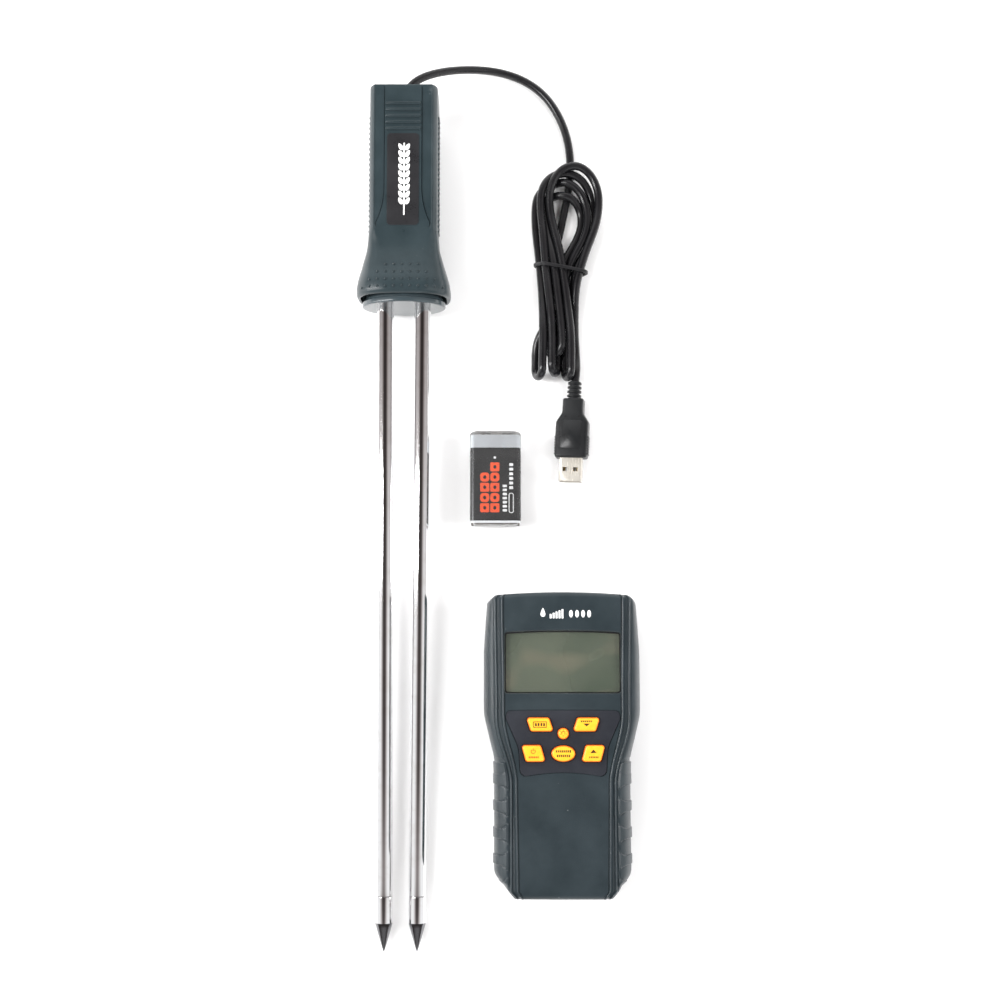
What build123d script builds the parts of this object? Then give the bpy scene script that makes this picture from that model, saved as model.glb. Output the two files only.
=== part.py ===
from build123d import *
import os
from math import atan2, cos, degrees, pi, radians, sin, tan

# Grain moisture meter: a two-rod probe with its lead, the hand unit that it plugs into, and the
# unit's block battery, lying side by side on a bench. Millimetres, +Z up, the bench is z = 0,
# and the origin is under the middle of the three things, the lead apart.

os.makedirs("parts", exist_ok=True)

# ---------------------------------------------------------------- probe
probe_length = 442.0        # rod points to the handle's end
handle_width = 35.4
handle_depth = 28.4
handle_corner = 5.0
handle_wall = 2.0
grip_station = 366.0        # where the straight grip turns into the bell
bell_sections = (           # station along the probe, half width, half depth, corner radius
    (366.0, 17.7, 14.2, 5.0),
    (356.0, 18.7, 14.9, 7.0),
    (346.0, 21.5, 17.3, 11.0),
    (338.0, 23.8, 19.6, 15.0),
    (333.5, 24.25, 20.0, 16.0),
    (331.0, 23.8, 19.6, 16.0),
)
rim_station = 331.0
widest_station, widest_half_width, widest_half_depth = 333.5, 24.25, 20.0
base_face_station = 327.0
base_disc_thick = 3.0
base_spigot_end = 338.0
rod_radius = 4.4
rod_bore_radius = 3.4
cone_length = 14.0
tip_length = 27.4           # cone and plain part, up to the seam
tip_thread_length = 9.0
base_spacing = 19.3         # between the rods' axes at the base
point_spacing = 16.6        # and at their points
rod_end_station = 346.5
nut_across_flats = 14.0
nut_thick = 4.0
end_plate_thick = 1.2
end_plate_width, end_plate_depth = 22.0, 17.0
label_length, label_width, label_thick = 48.2, 16.4, 0.4
label_station = 391.6
panel_half_width = 9.6
panel_height = 0.5
ridge_first_station, ridge_pitch, ridge_count = 431.7, 3.32, 5
handle_screw_places = ((-12.0, 374.0), (12.0, 374.0), (-12.0, 424.0), (12.0, 424.0))

# ---------------------------------------------------------------- lead
cord_diameter = 4.3
cord_hole_radius = 2.75
cord_start = (-50.6, 205.6, 24.55)      # in the clamp inside the handle
cord_turn = (-50.3, 214.5, 25.05)
cord_out = (-46.2, 223.6, 25.5)         # the lead leaves the handle slantwise, towards this point
tie_thick, tie_width, tie_slope = 1.5, 1.7, -11.0

# ---------------------------------------------------------------- hand unit
unit_x, unit_y = 33.0, -117.8
unit_half_length = 74.7
split_height = 16.0
face_height = 32.0
case_wall = 2.2
overlay_thick = 0.5
key_travel = 0.9
board_bottom, board_thick = 20.6, 1.6
key_flange_bottom, key_flange_thick, key_top = 27.2, 2.0, 33.9
window_width, window_height, window_y = 57.6, 30.0, 39.6
bay_half_width, bay_low, bay_high = 14.3, -70.5, -13.5
cover_half_width, cover_thick, cover_end = 17.0, 1.8, -12.0

# ---------------------------------------------------------------- battery
battery_x, battery_y = -0.4, 17.2
battery_width, battery_length, battery_depth = 26.4, 48.5, 17.5

# ---------------------------------------------------------------- probe frame
pitch = atan2(widest_half_depth - rod_radius, widest_station - cone_length)
point_height = rod_radius * cos(pitch) - cone_length * sin(pitch)
probe_x = -48.0
point_y = -((probe_length + end_plate_thick) * cos(pitch) + end_plate_depth / 2 * sin(pitch)) / 2
along_probe = (0, cos(pitch), sin(pitch))
probe_plane = Plane(
    origin=(probe_x, point_y, point_height), x_dir=(1, 0, 0), z_dir=(0, -sin(pitch), cos(pitch))
)
unit_plane = Plane(origin=(unit_x, unit_y, 0))
battery_plane = Plane(origin=(battery_x, battery_y, 0))


def keep(name, shape):
    """Label a finished piece and write its STEP file."""
    shape.label = name
    export_step(shape, f"parts/{name}.step")


def above(plane, height):
    """A plane parallel to the given one, that much above it."""
    return plane.offset(height)


def across(station, sideways=0.0, height=0.0):
    """A plane square to the probe at a station, its normal pointing from the points to the handle."""
    origin = probe_plane.from_local_coords((sideways, station, height))
    return Plane(origin=origin, x_dir=(1, 0, 0), z_dir=along_probe)


def along_cord(begin, end, distance):
    """A plane square to a run of the lead, that far from the run's beginning."""
    run = (Vector(*end) - Vector(*begin)).normalized()
    return Plane(origin=Vector(*begin) + run * distance, z_dir=run)


def rod_across(side, station):
    """A plane square to one rod. The rods draw together a little towards their points."""
    point = probe_plane.from_local_coords((side * point_spacing / 2, 0, 0))
    top = probe_plane.from_local_coords((side * base_spacing / 2, rim_station, 0))
    along = (top - point).normalized()
    return Plane(origin=point + along * station, z_dir=along)


# ================================================================ probe handle
bush_radius = cord_hole_radius + 1.2
boss_radius, boss_hole_radius, screw_radius = 3.0, 1.35, 1.25
head_radius, head_depth = 2.5, 2.0
half_depth = handle_depth / 2


def handle_volume(inset):
    """The handle's outer form, shrunk by an inset on its sides and its end."""
    grip_length = probe_length - grip_station - inset
    with BuildPart() as volume:
        with BuildSketch(across(grip_station)):
            RectangleRounded(
                handle_width - 2 * inset, handle_depth - 2 * inset, handle_corner - inset
            )
        extrude(amount=grip_length)
        for station, half_width, half_depth, corner in bell_sections:
            with BuildSketch(across(station)):
                RectangleRounded(
                    2 * (half_width - inset), 2 * (half_depth - inset), corner - inset
                )
        loft()
    return volume.part


def half_shell(side):
    """One hollow half of the handle, above (Keep.TOP) or below (Keep.BOTTOM) the split."""
    with BuildPart() as half:
        add(handle_volume(0.0))
        end_face = half.faces().filter_by(Axis((0, 0, 0), along_probe)).sort_by(
            Axis((0, 0, 0), along_probe))[-1]
        fillet(end_face.edges(), radius=1.5)
        add(handle_volume(handle_wall), mode=Mode.SUBTRACT)
        with BuildSketch(along_cord(cord_turn, cord_out, 2.0)):
            Circle(bush_radius + 0.05)
        extrude(amount=10.0, mode=Mode.SUBTRACT)
        split(bisect_by=probe_plane, keep=side)
    return half.part


def front_panel_outline():
    """The raised panel, straight beside the label and running out into the bell's corners."""
    low, high = grip_station + 2, probe_length - 1.6
    with BuildSketch(above(probe_plane, half_depth - 1)) as outline:
        with BuildLine():
            Polyline(
                (-panel_half_width, high), (panel_half_width, high), (panel_half_width, low + 18),
                (panel_half_width + 3, low), (-panel_half_width - 3, low),
                (-panel_half_width, low + 18), (-panel_half_width, high),
            )
        make_face()
    return outline.sketch


with BuildPart() as handle_front_shell:
    add(half_shell(Keep.TOP))
    add(front_panel_outline())
    extrude(amount=panel_height + 1)
    for ridge in range(ridge_count):
        station = ridge_first_station - ridge * ridge_pitch
        with BuildSketch(above(probe_plane, half_depth)):
            with Locations((0, station)):
                SlotOverall(18.8, 1.7)
        extrude(amount=panel_height + 0.6)
    with BuildSketch(probe_plane):
        with Locations(*handle_screw_places):
            Circle(boss_radius)
    extrude(amount=half_depth - handle_wall + 0.4)
    with BuildSketch(probe_plane):
        with Locations(*handle_screw_places):
            Circle(boss_hole_radius)
    extrude(amount=9.0, mode=Mode.SUBTRACT)
keep("handle_front_shell", handle_front_shell.part)

with BuildPart() as handle_rear_shell:
    add(half_shell(Keep.BOTTOM))
    with BuildSketch(probe_plane):
        with Locations(*handle_screw_places):
            Circle(boss_radius)
    extrude(amount=-(half_depth - handle_wall + 0.4))
    with BuildSketch(probe_plane):
        with Locations(*handle_screw_places):
            Circle(boss_hole_radius)
    extrude(amount=-half_depth - 1, mode=Mode.SUBTRACT)
    with BuildSketch(above(probe_plane, -half_depth - 1)):
        with Locations(*handle_screw_places):
            Circle(head_radius + 0.2)
    extrude(amount=head_depth + 1.4, mode=Mode.SUBTRACT)
keep("handle_rear_shell", handle_rear_shell.part)

with BuildPart() as handle_screws:
    with BuildSketch(above(probe_plane, -half_depth + 0.3)):
        with Locations(*handle_screw_places):
            Circle(head_radius)
    extrude(amount=head_depth)
    with BuildSketch(above(probe_plane, -half_depth + 0.3)):
        with Locations(*handle_screw_places):
            Circle(screw_radius)
    extrude(amount=half_depth + 7.5)
    with BuildSketch(above(probe_plane, -half_depth + 0.3)):
        with Locations(*handle_screw_places):
            RegularPolygon(0.9, 6)
    extrude(amount=1.0, mode=Mode.SUBTRACT)
keep("handle_screws", handle_screws.part)

with BuildPart() as handle_label:
    with BuildSketch(above(probe_plane, half_depth + panel_height)):
        with Locations((0, label_station)):
            RectangleRounded(label_width, label_length, 1.8)
    extrude(amount=label_thick)
keep("handle_label", handle_label.part)

with BuildPart() as handle_end_plate:
    with BuildSketch(across(probe_length)):
        RectangleRounded(end_plate_width, end_plate_depth, 2.5)
    extrude(amount=end_plate_thick)
    outer_face = handle_end_plate.faces().sort_by(Axis((0, 0, 0), along_probe))[-1]
    fillet(outer_face.edges(), radius=0.5)
    with BuildSketch(along_cord(cord_turn, cord_out, 0.0)):
        Circle(cord_hole_radius)
    extrude(amount=20.0, mode=Mode.SUBTRACT)
keep("handle_end_plate", handle_end_plate.part)

# A rubber bush fills the slanting hole in the end wall, with a flange inside the wall.
with BuildPart() as cord_bush:
    with BuildSketch(along_cord(cord_turn, cord_out, 0.0)):
        Circle(bush_radius)
    extrude(amount=20.0)
    with BuildSketch(across(probe_length - handle_wall - 1.8, cord_turn[0] - probe_x + 1.2)):
        Circle(bush_radius + 1.8)
    extrude(amount=1.75)
    with BuildSketch(along_cord(cord_turn, cord_out, -5.0)):
        Circle(cord_hole_radius)
    extrude(amount=30.0, mode=Mode.SUBTRACT)
    split(bisect_by=across(probe_length - 0.02), keep=Keep.BOTTOM)
    split(bisect_by=across(probe_length - handle_wall - 1.8), keep=Keep.TOP)
keep("cord_bush", cord_bush.part)

with BuildPart() as cord_clamp:
    with BuildSketch(along_cord(cord_start, cord_turn, 0.5)):
        RectangleRounded(15.0, 9.0, 2.0)
        Circle(cord_diameter / 2 + 0.05, mode=Mode.SUBTRACT)
    extrude(amount=4.0)
keep("cord_clamp", cord_clamp.part)


# ================================================================ rods and their base
with BuildPart() as probe_base:
    with BuildSketch(across(base_face_station)):
        Ellipse(21.6, 18.0)
    extrude(amount=base_disc_thick)
    fillet(probe_base.faces().sort_by(Axis((0, 0, 0), along_probe))[0].edges(), radius=0.6)
    with BuildSketch(across(base_face_station + base_disc_thick)):
        Ellipse(20.2, 16.2)
    extrude(amount=base_spigot_end - base_face_station - base_disc_thick)
    for side in (-1, 1):
        with BuildSketch(rod_across(side, base_face_station - 5)):
            Circle(rod_radius + 0.05)
        extrude(amount=base_spigot_end - base_face_station + 10, mode=Mode.SUBTRACT)
keep("probe_base", probe_base.part)

for side, side_name in ((-1, "left"), (1, "right")):
    with BuildPart() as rod:
        with BuildSketch(rod_across(side, tip_length)):
            Circle(rod_radius)
            Circle(rod_bore_radius, mode=Mode.SUBTRACT)
        extrude(amount=rod_end_station - tip_length)
    keep(f"rod_{side_name}", rod.part)

    with BuildPart() as tip:
        with BuildSketch(rod_across(side, cone_length)):
            Circle(rod_radius)
        with BuildSketch(rod_across(side, 0.0)):
            Circle(0.35)
        loft()
        with BuildSketch(rod_across(side, cone_length)):
            Circle(rod_radius)
        extrude(amount=tip_length - cone_length)
        with BuildSketch(rod_across(side, tip_length)):
            Circle(rod_bore_radius - 0.05)
        extrude(amount=tip_thread_length)
    keep(f"tip_{side_name}", tip.part)

with BuildPart() as rod_nuts:
    for side in (-1, 1):
        with BuildSketch(rod_across(side, base_spigot_end + 0.2)):
            RegularPolygon(nut_across_flats / 2, 6, major_radius=False, rotation=30)
            Circle(rod_radius + 0.05, mode=Mode.SUBTRACT)
        extrude(amount=nut_thick)
keep("rod_nuts", rod_nuts.part)

lug_station = base_spigot_end + nut_thick + 0.4
with BuildPart() as rod_lugs:
    for side in (-1, 1):
        with BuildSketch(rod_across(side, lug_station)):
            Circle(rod_radius + 2.2)
            Circle(rod_radius + 0.05, mode=Mode.SUBTRACT)
        extrude(amount=0.8)
keep("rod_lugs", rod_lugs.part)

lead_radius = 0.7
with BuildPart() as probe_leads:
    for side in (-1, 1):
        start = probe_plane.from_local_coords(
            (side * (base_spacing / 2 + 0.1), lug_station + 0.9, rod_radius + 1.3))
        bend = probe_plane.from_local_coords((side * 7.5, 362.0, 4.0))
        middle = probe_plane.from_local_coords((side * 3.0 - 2.0, 412.0, 1.5))
        end = Vector(*cord_start) + Vector(side * 1.0, -0.3, 0)
        with BuildLine() as lead_path:
            FilletPolyline(start, bend, middle, end, radius=6.0)
        with BuildSketch(Plane(origin=lead_path.wire() @ 0, z_dir=lead_path.wire() % 0)):
            Circle(lead_radius)
        sweep(path=lead_path.wire())
keep("probe_leads", probe_leads.part)


# ================================================================ lead outside the handle
cord_route = (
    (-39.6, 229.6, 24.1),
    (-29.2, 235.2, 18.8),
    (-16.6, 239.8, 11.4),
    (-3.0, 242.0, 5.2),
    (9.6, 240.0, 2.5),
    (19.6, 234.8, 2.3),
    (27.6, 227.4, 2.3),
    (33.6, 218.0, 2.3),
    (37.8, 207.2, 2.3),
    (39.7, 196.6, 2.4),
)
cord_hank_entry = (40.0, 186.0, 2.5)      # a little inside the hank's outer form


def route_radii(points):
    """Bend radii for a route: 0.45 of the shorter run over the tangent of half the turn."""
    radii = []
    for before, here, after in zip(points, points[1:], points[2:]):
        run_in, run_out = here - before, after - here
        turn = radians(run_in.get_angle(run_out))
        radii.append(0.45 * min(run_in.length, run_out.length) / tan(turn / 2))
    return radii


cord_points = [Vector(*point) for point in (cord_start, cord_turn, cord_out, *cord_route, cord_hank_entry)]
cord_radii = route_radii(cord_points)
print("cord radii:", [round(r, 1) for r in cord_radii])
print("cord runs:", [round((b - a).length, 1) for a, b in zip(cord_points, cord_points[1:])])

with BuildPart() as cord_tube:
    with BuildLine() as cord_path:
        FilletPolyline(*cord_points, radius=cord_radii)
    with BuildSketch(Plane(origin=cord_path.wire() @ 0, z_dir=cord_path.wire() % 0)):
        Circle(cord_diameter / 2)
    sweep(path=cord_path.wire())
cord_length = cord_path.wire().length
print("cord tube: length %.1f, volume over section x length %.4f"
      % (cord_length, cord_tube.part.volume / (cord_length * pi * cord_diameter ** 2 / 4)))
keep("cord_tube", cord_tube.part)

# The folded hank: three loops wide at the head, pinched at the tie, three folds at the foot.
hank_head, hank_foot = 187.0, 69.2
hank_bottom, hank_top = 0.1, 15.5
pinch_bottom, pinch_top = 1.8, 13.6
pinch_low, pinch_high = 124.5, 136.5
with BuildSketch(Plane.XY.offset(hank_bottom)) as hank_outline:
    with BuildLine():
        Spline(
            (40.0, hank_head), (53.0, 180.5), (56.7, 168.0), (53.0, 151.0), (47.2, 136.5)
        )
        Line((47.2, 136.5), (47.2, 124.5))
        Spline((47.2, 124.5), (43.3, 110.0), (42.5, 90.0), (44.4, hank_foot))
        Line((44.4, hank_foot), (18.6, hank_foot))
        Spline((18.6, hank_foot), (18.8, 85.0), (21.6, 108.0), (21.4, 124.5))
        Line((21.4, 124.5), (21.4, 136.5))
        Spline((21.4, 136.5), (19.0, 150.0), (19.2, 165.0), (26.0, 179.5), (40.0, hank_head))
    make_face()

with BuildSketch(Plane.XY) as pinch_outline:
    with Locations((34.3, (pinch_low + pinch_high) / 2)):
        Rectangle(60.0, pinch_high - pinch_low)

with BuildPart() as cord_hank:
    add(hank_outline.sketch)
    extrude(amount=hank_top - hank_bottom)
    add(pinch_outline.sketch)
    extrude(amount=pinch_bottom, mode=Mode.SUBTRACT)
    add(pinch_outline.sketch.moved(Location((0, 0, pinch_top))))
    extrude(amount=5.0, mode=Mode.SUBTRACT)
keep("cord_hank", cord_hank.part)

tie_middle = (34.3, 130.5, (pinch_bottom + pinch_top) / 2)
tie_inner_width, tie_inner_height = 25.8, pinch_top - pinch_bottom
with BuildPart() as tie_envelope:
    with BuildSketch(Plane(origin=tie_middle).rotated((90, 0, 0))):
        Rectangle(tie_inner_width + 2 * tie_thick, tie_inner_height + 2 * tie_thick)
        Rectangle(tie_inner_width + 0.02, tie_inner_height + 0.02, mode=Mode.SUBTRACT)
    extrude(amount=6.0, both=True)
with BuildPart() as hank_tie:
    with BuildSketch(Plane(origin=tie_middle).rotated((0, 0, tie_slope))):
        Rectangle(60.0, tie_width)
    extrude(amount=20.0, both=True)
    add(tie_envelope.part, mode=Mode.INTERSECT)
keep("hank_tie", hank_tie.part)


# ================================================================ plug
plug_height = 5.9
plug_start = (41.4, 69.3, plug_height)
plug_yaw, plug_roll = -3.0, -12.0
relief_length = 9.4
housing_length, neck_width, body_width, body_depth = 31.6, 11.0, 17.2, 8.0
shell_width, shell_depth, shell_length, shell_wall = 12.0, 4.5, 12.4, 0.35
shell_inside = 6.0
# the plug's plane: x across, y from the plug's mouth back to its lead, z out of the broad face
plug_plane = Plane(origin=plug_start).rotated((0, 0, plug_yaw)).rotated((0, plug_roll, 0))


def plug_across(distance):
    """A plane square to the plug, that far from the lead towards the mouth."""
    origin = plug_plane.from_local_coords((0, -distance, 0))
    return Plane(origin=origin, x_dir=plug_plane.x_dir, z_dir=plug_plane.y_dir * -1)


with BuildPart() as plug_strain_relief:
    with BuildSketch(plug_across(0.0)):
        Circle(2.9)
    with BuildSketch(plug_across(relief_length)):
        RectangleRounded(7.4, 6.4, 3.0)
    loft()
    for rib in range(4):
        with BuildSketch(plug_across(0.6 + rib * 2.2)):
            RectangleRounded(7.6, 6.4, 3.1)
        extrude(amount=1.2)
keep("plug_strain_relief", plug_strain_relief.part)

with BuildPart() as plug_housing:
    with BuildSketch(above(plug_plane, -body_depth / 2)):
        with BuildLine():
            Polyline(
                (-neck_width / 2, -relief_length), (neck_width / 2, -relief_length),
                (neck_width / 2, -relief_length - 7.6), (body_width / 2, -relief_length - 12.6),
                (body_width / 2, -relief_length - housing_length),
                (-body_width / 2, -relief_length - housing_length),
                (-body_width / 2, -relief_length - 12.6), (-neck_width / 2, -relief_length - 7.6),
                (-neck_width / 2, -relief_length),
            )
        make_face()
    extrude(amount=body_depth)
    fillet(plug_housing.edges().filter_by(Axis((0, 0, 0), plug_plane.z_dir)), radius=1.2)
    with BuildSketch(plug_across(relief_length + housing_length)):
        RectangleRounded(shell_width + 0.02, shell_depth + 0.02, 0.5)
    extrude(amount=-shell_inside, mode=Mode.SUBTRACT)
keep("plug_housing", plug_housing.part)

shell_start = relief_length + housing_length - shell_inside
with BuildPart() as plug_shell:
    with BuildSketch(plug_across(shell_start)):
        RectangleRounded(shell_width, shell_depth, 0.5)
        RectangleRounded(shell_width - 2 * shell_wall, shell_depth - 2 * shell_wall, 0.2,
                         mode=Mode.SUBTRACT)
    extrude(amount=shell_inside + shell_length)
    with BuildSketch(plug_plane):
        with Locations(*((x, -(relief_length + housing_length + 6.0)) for x in (-2.6, 2.6))):
            Rectangle(2.3, 2.0)
    extrude(amount=10.0, both=True, mode=Mode.SUBTRACT)
keep("plug_shell", plug_shell.part)

with BuildPart() as plug_tongue:
    with BuildSketch(plug_across(shell_start)):
        with Locations((0, -0.9)):
            Rectangle(shell_width - 2 * shell_wall - 0.1, 1.9)
    extrude(amount=shell_inside + shell_length - 0.8)
keep("plug_tongue", plug_tongue.part)

with BuildPart() as plug_contacts:
    with BuildSketch(plug_across(shell_start + shell_inside)):
        with Locations((-3.5, 0.17), (-1.0, 0.17), (1.0, 0.17), (3.5, 0.17)):
            Rectangle(1.0, 0.2)
    extrude(amount=shell_length - 2.0)
keep("plug_contacts", plug_contacts.part)


# ================================================================ hand unit: case
def unit_outline(inset, height):
    """The unit's outline seen from above, shrunk by an inset, as a face at a height."""
    with BuildSketch(above(unit_plane, height)) as outline:
        with BuildLine():
            ThreePointArc((0, unit_half_length), (18, 74.35), (34.0, 73.2))
            FilletPolyline(
                (34.0, 73.2), (37.6, 70.2), (39.25, 46.0), (39.25, 14.0), (33.6, -9.0),
                (33.6, -63.5), (24.6, -unit_half_length),
                radius=(3.0, 60.0, 26.0, 30.0, 7.0),
            )
            Line((24.6, -unit_half_length), (0, -unit_half_length))
            mirror(about=Plane.YZ)
        make_face()
        if inset:
            offset(amount=-inset, kind=Kind.INTERSECTION)
    return outline.sketch


case_screw_places = ((-30.5, 62.0), (30.5, 62.0), (-26.0, -58.0), (26.0, -58.0))
case_boss_radius, case_hole_radius, case_screw_radius = 3.2, 1.35, 1.25
case_head_radius, case_head_depth = 2.6, 2.2
bay_wall, bay_roof = 1.5, 22.0
bay_middle_y, bay_length = (bay_low + bay_high) / 2, bay_high - bay_low
seat_depth = 3.4

with BuildPart() as rear_case:
    add(unit_outline(0.0, 0.0))
    extrude(amount=split_height)
    chamfer(rear_case.faces().sort_by(Axis.Z)[0].edges(), length=2.5)
    add(unit_outline(case_wall, case_wall))
    extrude(amount=split_height, mode=Mode.SUBTRACT)
    # screw bosses
    with BuildSketch(unit_plane):
        with Locations(*case_screw_places):
            Circle(case_boss_radius + 1.2)
    extrude(amount=seat_depth + 1.6)
    with BuildSketch(unit_plane):
        with Locations(*case_screw_places):
            Circle(case_boss_radius)
    extrude(amount=split_height)
    with BuildSketch(unit_plane):
        with Locations(*case_screw_places):
            Circle(case_hole_radius)
    extrude(amount=split_height, mode=Mode.SUBTRACT)
    with BuildSketch(unit_plane):
        with Locations(*case_screw_places):
            Circle(case_head_radius + 0.2)
    extrude(amount=seat_depth, mode=Mode.SUBTRACT)
    # battery bay: a box open through the back, in a thicker floor that beds its cover
    with BuildSketch(above(unit_plane, 1.0)):
        with Locations((0, (cover_end + 2 - unit_half_length + 1) / 2)):
            Rectangle(2 * cover_half_width + 5, cover_end + 2 + unit_half_length - 1)
    extrude(amount=3.2)
    with BuildSketch(above(unit_plane, 1.0)):
        with Locations((0, bay_middle_y)):
            Rectangle(2 * (bay_half_width + bay_wall), bay_length + 2 * bay_wall)
    extrude(amount=bay_roof + bay_wall - 1.0)
    with BuildSketch(above(unit_plane, -1.0)):
        with Locations((0, bay_middle_y)):
            Rectangle(2 * bay_half_width, bay_length)
    extrude(amount=bay_roof + 1.0, mode=Mode.SUBTRACT)
    # the cover's bed, open at the unit's lower end
    cover_bed_low = -unit_half_length - 1
    with BuildSketch(unit_plane):
        with Locations((0, (cover_bed_low + cover_end + 0.3) / 2)):
            Rectangle(2 * cover_half_width + 0.6, cover_end + 0.3 - cover_bed_low)
    extrude(amount=cover_thick + 0.5, mode=Mode.SUBTRACT)
    # a slot lets the battery leads out of the bay
    with BuildSketch(Plane.XZ.offset(-(unit_y + bay_high - 1))):
        with Locations((unit_x, 11.0)):
            Rectangle(9.0, 3.0)
    extrude(amount=-4.0, mode=Mode.SUBTRACT)
keep("rear_case", rear_case.part)

with BuildPart() as battery_cover:
    with BuildSketch(above(unit_plane, 0.3)):
        with Locations((0, (cover_end - unit_half_length + 0.2) / 2)):
            Rectangle(2 * cover_half_width, cover_end + unit_half_length - 0.2)
    extrude(amount=cover_thick)
    chamfer(battery_cover.edges().filter_by(Axis.X).group_by(Axis.Z)[0].sort_by(Axis.Y)[0], length=1.5)
    # thumb ribs let into its outer face
    for rib in range(5):
        with BuildSketch(above(unit_plane, 0.3)):
            with Locations((0, -60.0 + 2.4 * rib)):
                SlotOverall(14.0, 1.1)
        extrude(amount=0.5, mode=Mode.SUBTRACT)
keep("battery_cover", battery_cover.part)

# ================================================================ hand unit: keys and display
def key_outline(name, margin=0.0):
    """One key's outline, grown by a margin, as a face at z = 0 in the unit's place."""
    kind, x, y, width, height, skew = keys[name]
    with BuildSketch(Plane(origin=(unit_x + x, unit_y + y, 0))) as outline:
        if kind == "oval":
            Ellipse(width / 2 + margin, height / 2 + margin)
        else:
            half_width, half_height, lean = width / 2, height / 2, skew / 2
            Polygon(
                (-half_width - lean, half_height), (half_width - lean, half_height),
                (half_width + lean, -half_height), (-half_width + lean, -half_height),
                align=None,
            )
            fillet(outline.vertices(), radius=1.5)
            if margin:
                offset(amount=margin)
    return outline.sketch


def raised(face, height):
    """The same face, lifted to a height."""
    return face.moved(Location((0, 0, height)))


keys = {                    # outline, place from the unit's middle, width, height, slant
    "key_hold": ("slanted", -11.45, 9.4, 11.0, 6.4, 2.2),
    "key_select": ("slanted", 11.45, 9.4, 11.0, 6.4, -2.2),
    "key_lamp": ("oval", 0.0, 5.0, 5.6, 5.6, 0.0),
    "key_power": ("slanted", -14.7, -4.6, 9.4, 7.8, 2.2),
    "key_peak": ("oval", 0.0, -4.7, 11.8, 8.0, 0.0),
    "key_menu": ("slanted", 14.7, -4.6, 9.4, 7.8, -2.2),
}
key_gap, flange_margin = 0.3, 0.9
recess_depth = 0.45
face_underside = face_height - case_wall
board_top = board_bottom + board_thick
board_screw_places = ((-28.5, 14.2), (28.5, 14.2), (-20.0, 64.5), (20.0, 64.5))
socket_width, socket_height, socket_bottom = 13.2, 5.9, 22.3
socket_low, socket_high = 59.8, 73.6


def overlay_outline(margin):
    """The keypad overlay, broad above, narrow below, its lower edge arched up in the middle."""
    with BuildSketch(unit_plane) as outline:
        with BuildLine():
            ThreePointArc((0, 16.2), (14, 16.15), (27.8, 16.0))
            FilletPolyline(
                (27.8, 16.0), (27.9, 13.4), (21.7, -2.0), (21.0, -15.9), (17.0, -15.3),
                radius=(0.9, 16.0, 2.6),
            )
            ThreePointArc((17.0, -15.3), (9.0, -14.2), (0, -13.8))
            mirror(about=Plane.YZ)
        make_face()
        if margin:
            offset(amount=margin)
    return outline.sketch


def window_outline(margin):
    """The display window, square below, its top edge slightly arched."""
    low, high = window_y - window_height / 2, window_y + window_height / 2
    with BuildSketch(unit_plane) as outline:
        with BuildLine():
            ThreePointArc((-window_width / 2, high - 0.9), (0, high), (window_width / 2, high - 0.9))
            Polyline(
                (window_width / 2, high - 0.9), (window_width / 2, low),
                (-window_width / 2, low), (-window_width / 2, high - 0.9),
            )
        make_face()
        fillet(outline.vertices(), radius=1.4)
        if margin:
            offset(amount=margin)
    return outline.sketch


with BuildPart() as front_case:
    add(unit_outline(0.0, split_height))
    extrude(amount=face_height - split_height)
    chamfer(front_case.faces().sort_by(Axis.Z)[-1].edges(), length=2.6)
    add(unit_outline(case_wall, split_height))
    extrude(amount=10.0, mode=Mode.SUBTRACT)
    add(unit_outline(case_wall + 4.2, split_height))
    extrude(amount=face_underside - split_height, mode=Mode.SUBTRACT)
    # bosses for the case screws, posts for the board
    with BuildSketch(above(unit_plane, split_height)):
        with Locations(*case_screw_places):
            Circle(case_boss_radius)
    extrude(amount=face_underside - split_height - 1)
    with BuildSketch(above(unit_plane, board_top)):
        with Locations(*board_screw_places):
            Circle(2.6)
    extrude(amount=face_underside - board_top + 0.4)
    with BuildSketch(above(unit_plane, split_height)):
        with Locations(*case_screw_places, *board_screw_places):
            Circle(case_hole_radius)
    extrude(amount=10.5, mode=Mode.SUBTRACT)
    # openings in the face
    add(raised(overlay_outline(0.12), face_height - recess_depth))
    extrude(amount=recess_depth + 1, mode=Mode.SUBTRACT)
    for name in keys:
        add(raised(key_outline(name, key_gap), face_underside - 1))
        extrude(amount=case_wall + 2, mode=Mode.SUBTRACT)
    add(raised(window_outline(0.0), face_underside - 1))
    extrude(amount=case_wall + 2, mode=Mode.SUBTRACT)
    # the socket's mouth in the end wall
    with BuildSketch(Plane.XZ.offset(-(unit_y + socket_high + 3))):
        with Locations((unit_x, socket_bottom + socket_height / 2)):
            RectangleRounded(socket_width + 0.4, socket_height + 0.4, 0.6)
    extrude(amount=socket_high - socket_low + 4, mode=Mode.SUBTRACT)
keep("front_case", front_case.part)

with BuildPart() as keypad_overlay:
    add(raised(overlay_outline(0.0), face_height - recess_depth))
    extrude(amount=overlay_thick)
    for name in keys:
        add(raised(key_outline(name, key_gap), face_height - recess_depth))
        extrude(amount=overlay_thick, mode=Mode.SUBTRACT)
keep("keypad_overlay", keypad_overlay.part)

for name in keys:
    with BuildPart() as key:
        add(raised(key_outline(name), key_flange_bottom))
        extrude(amount=key_top - key_flange_bottom)
        chamfer(key.faces().sort_by(Axis.Z)[-1].edges(), length=0.5)
        add(raised(key_outline(name, flange_margin), key_flange_bottom))
        extrude(amount=key_flange_thick)
    keep(name, key.part)

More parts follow.
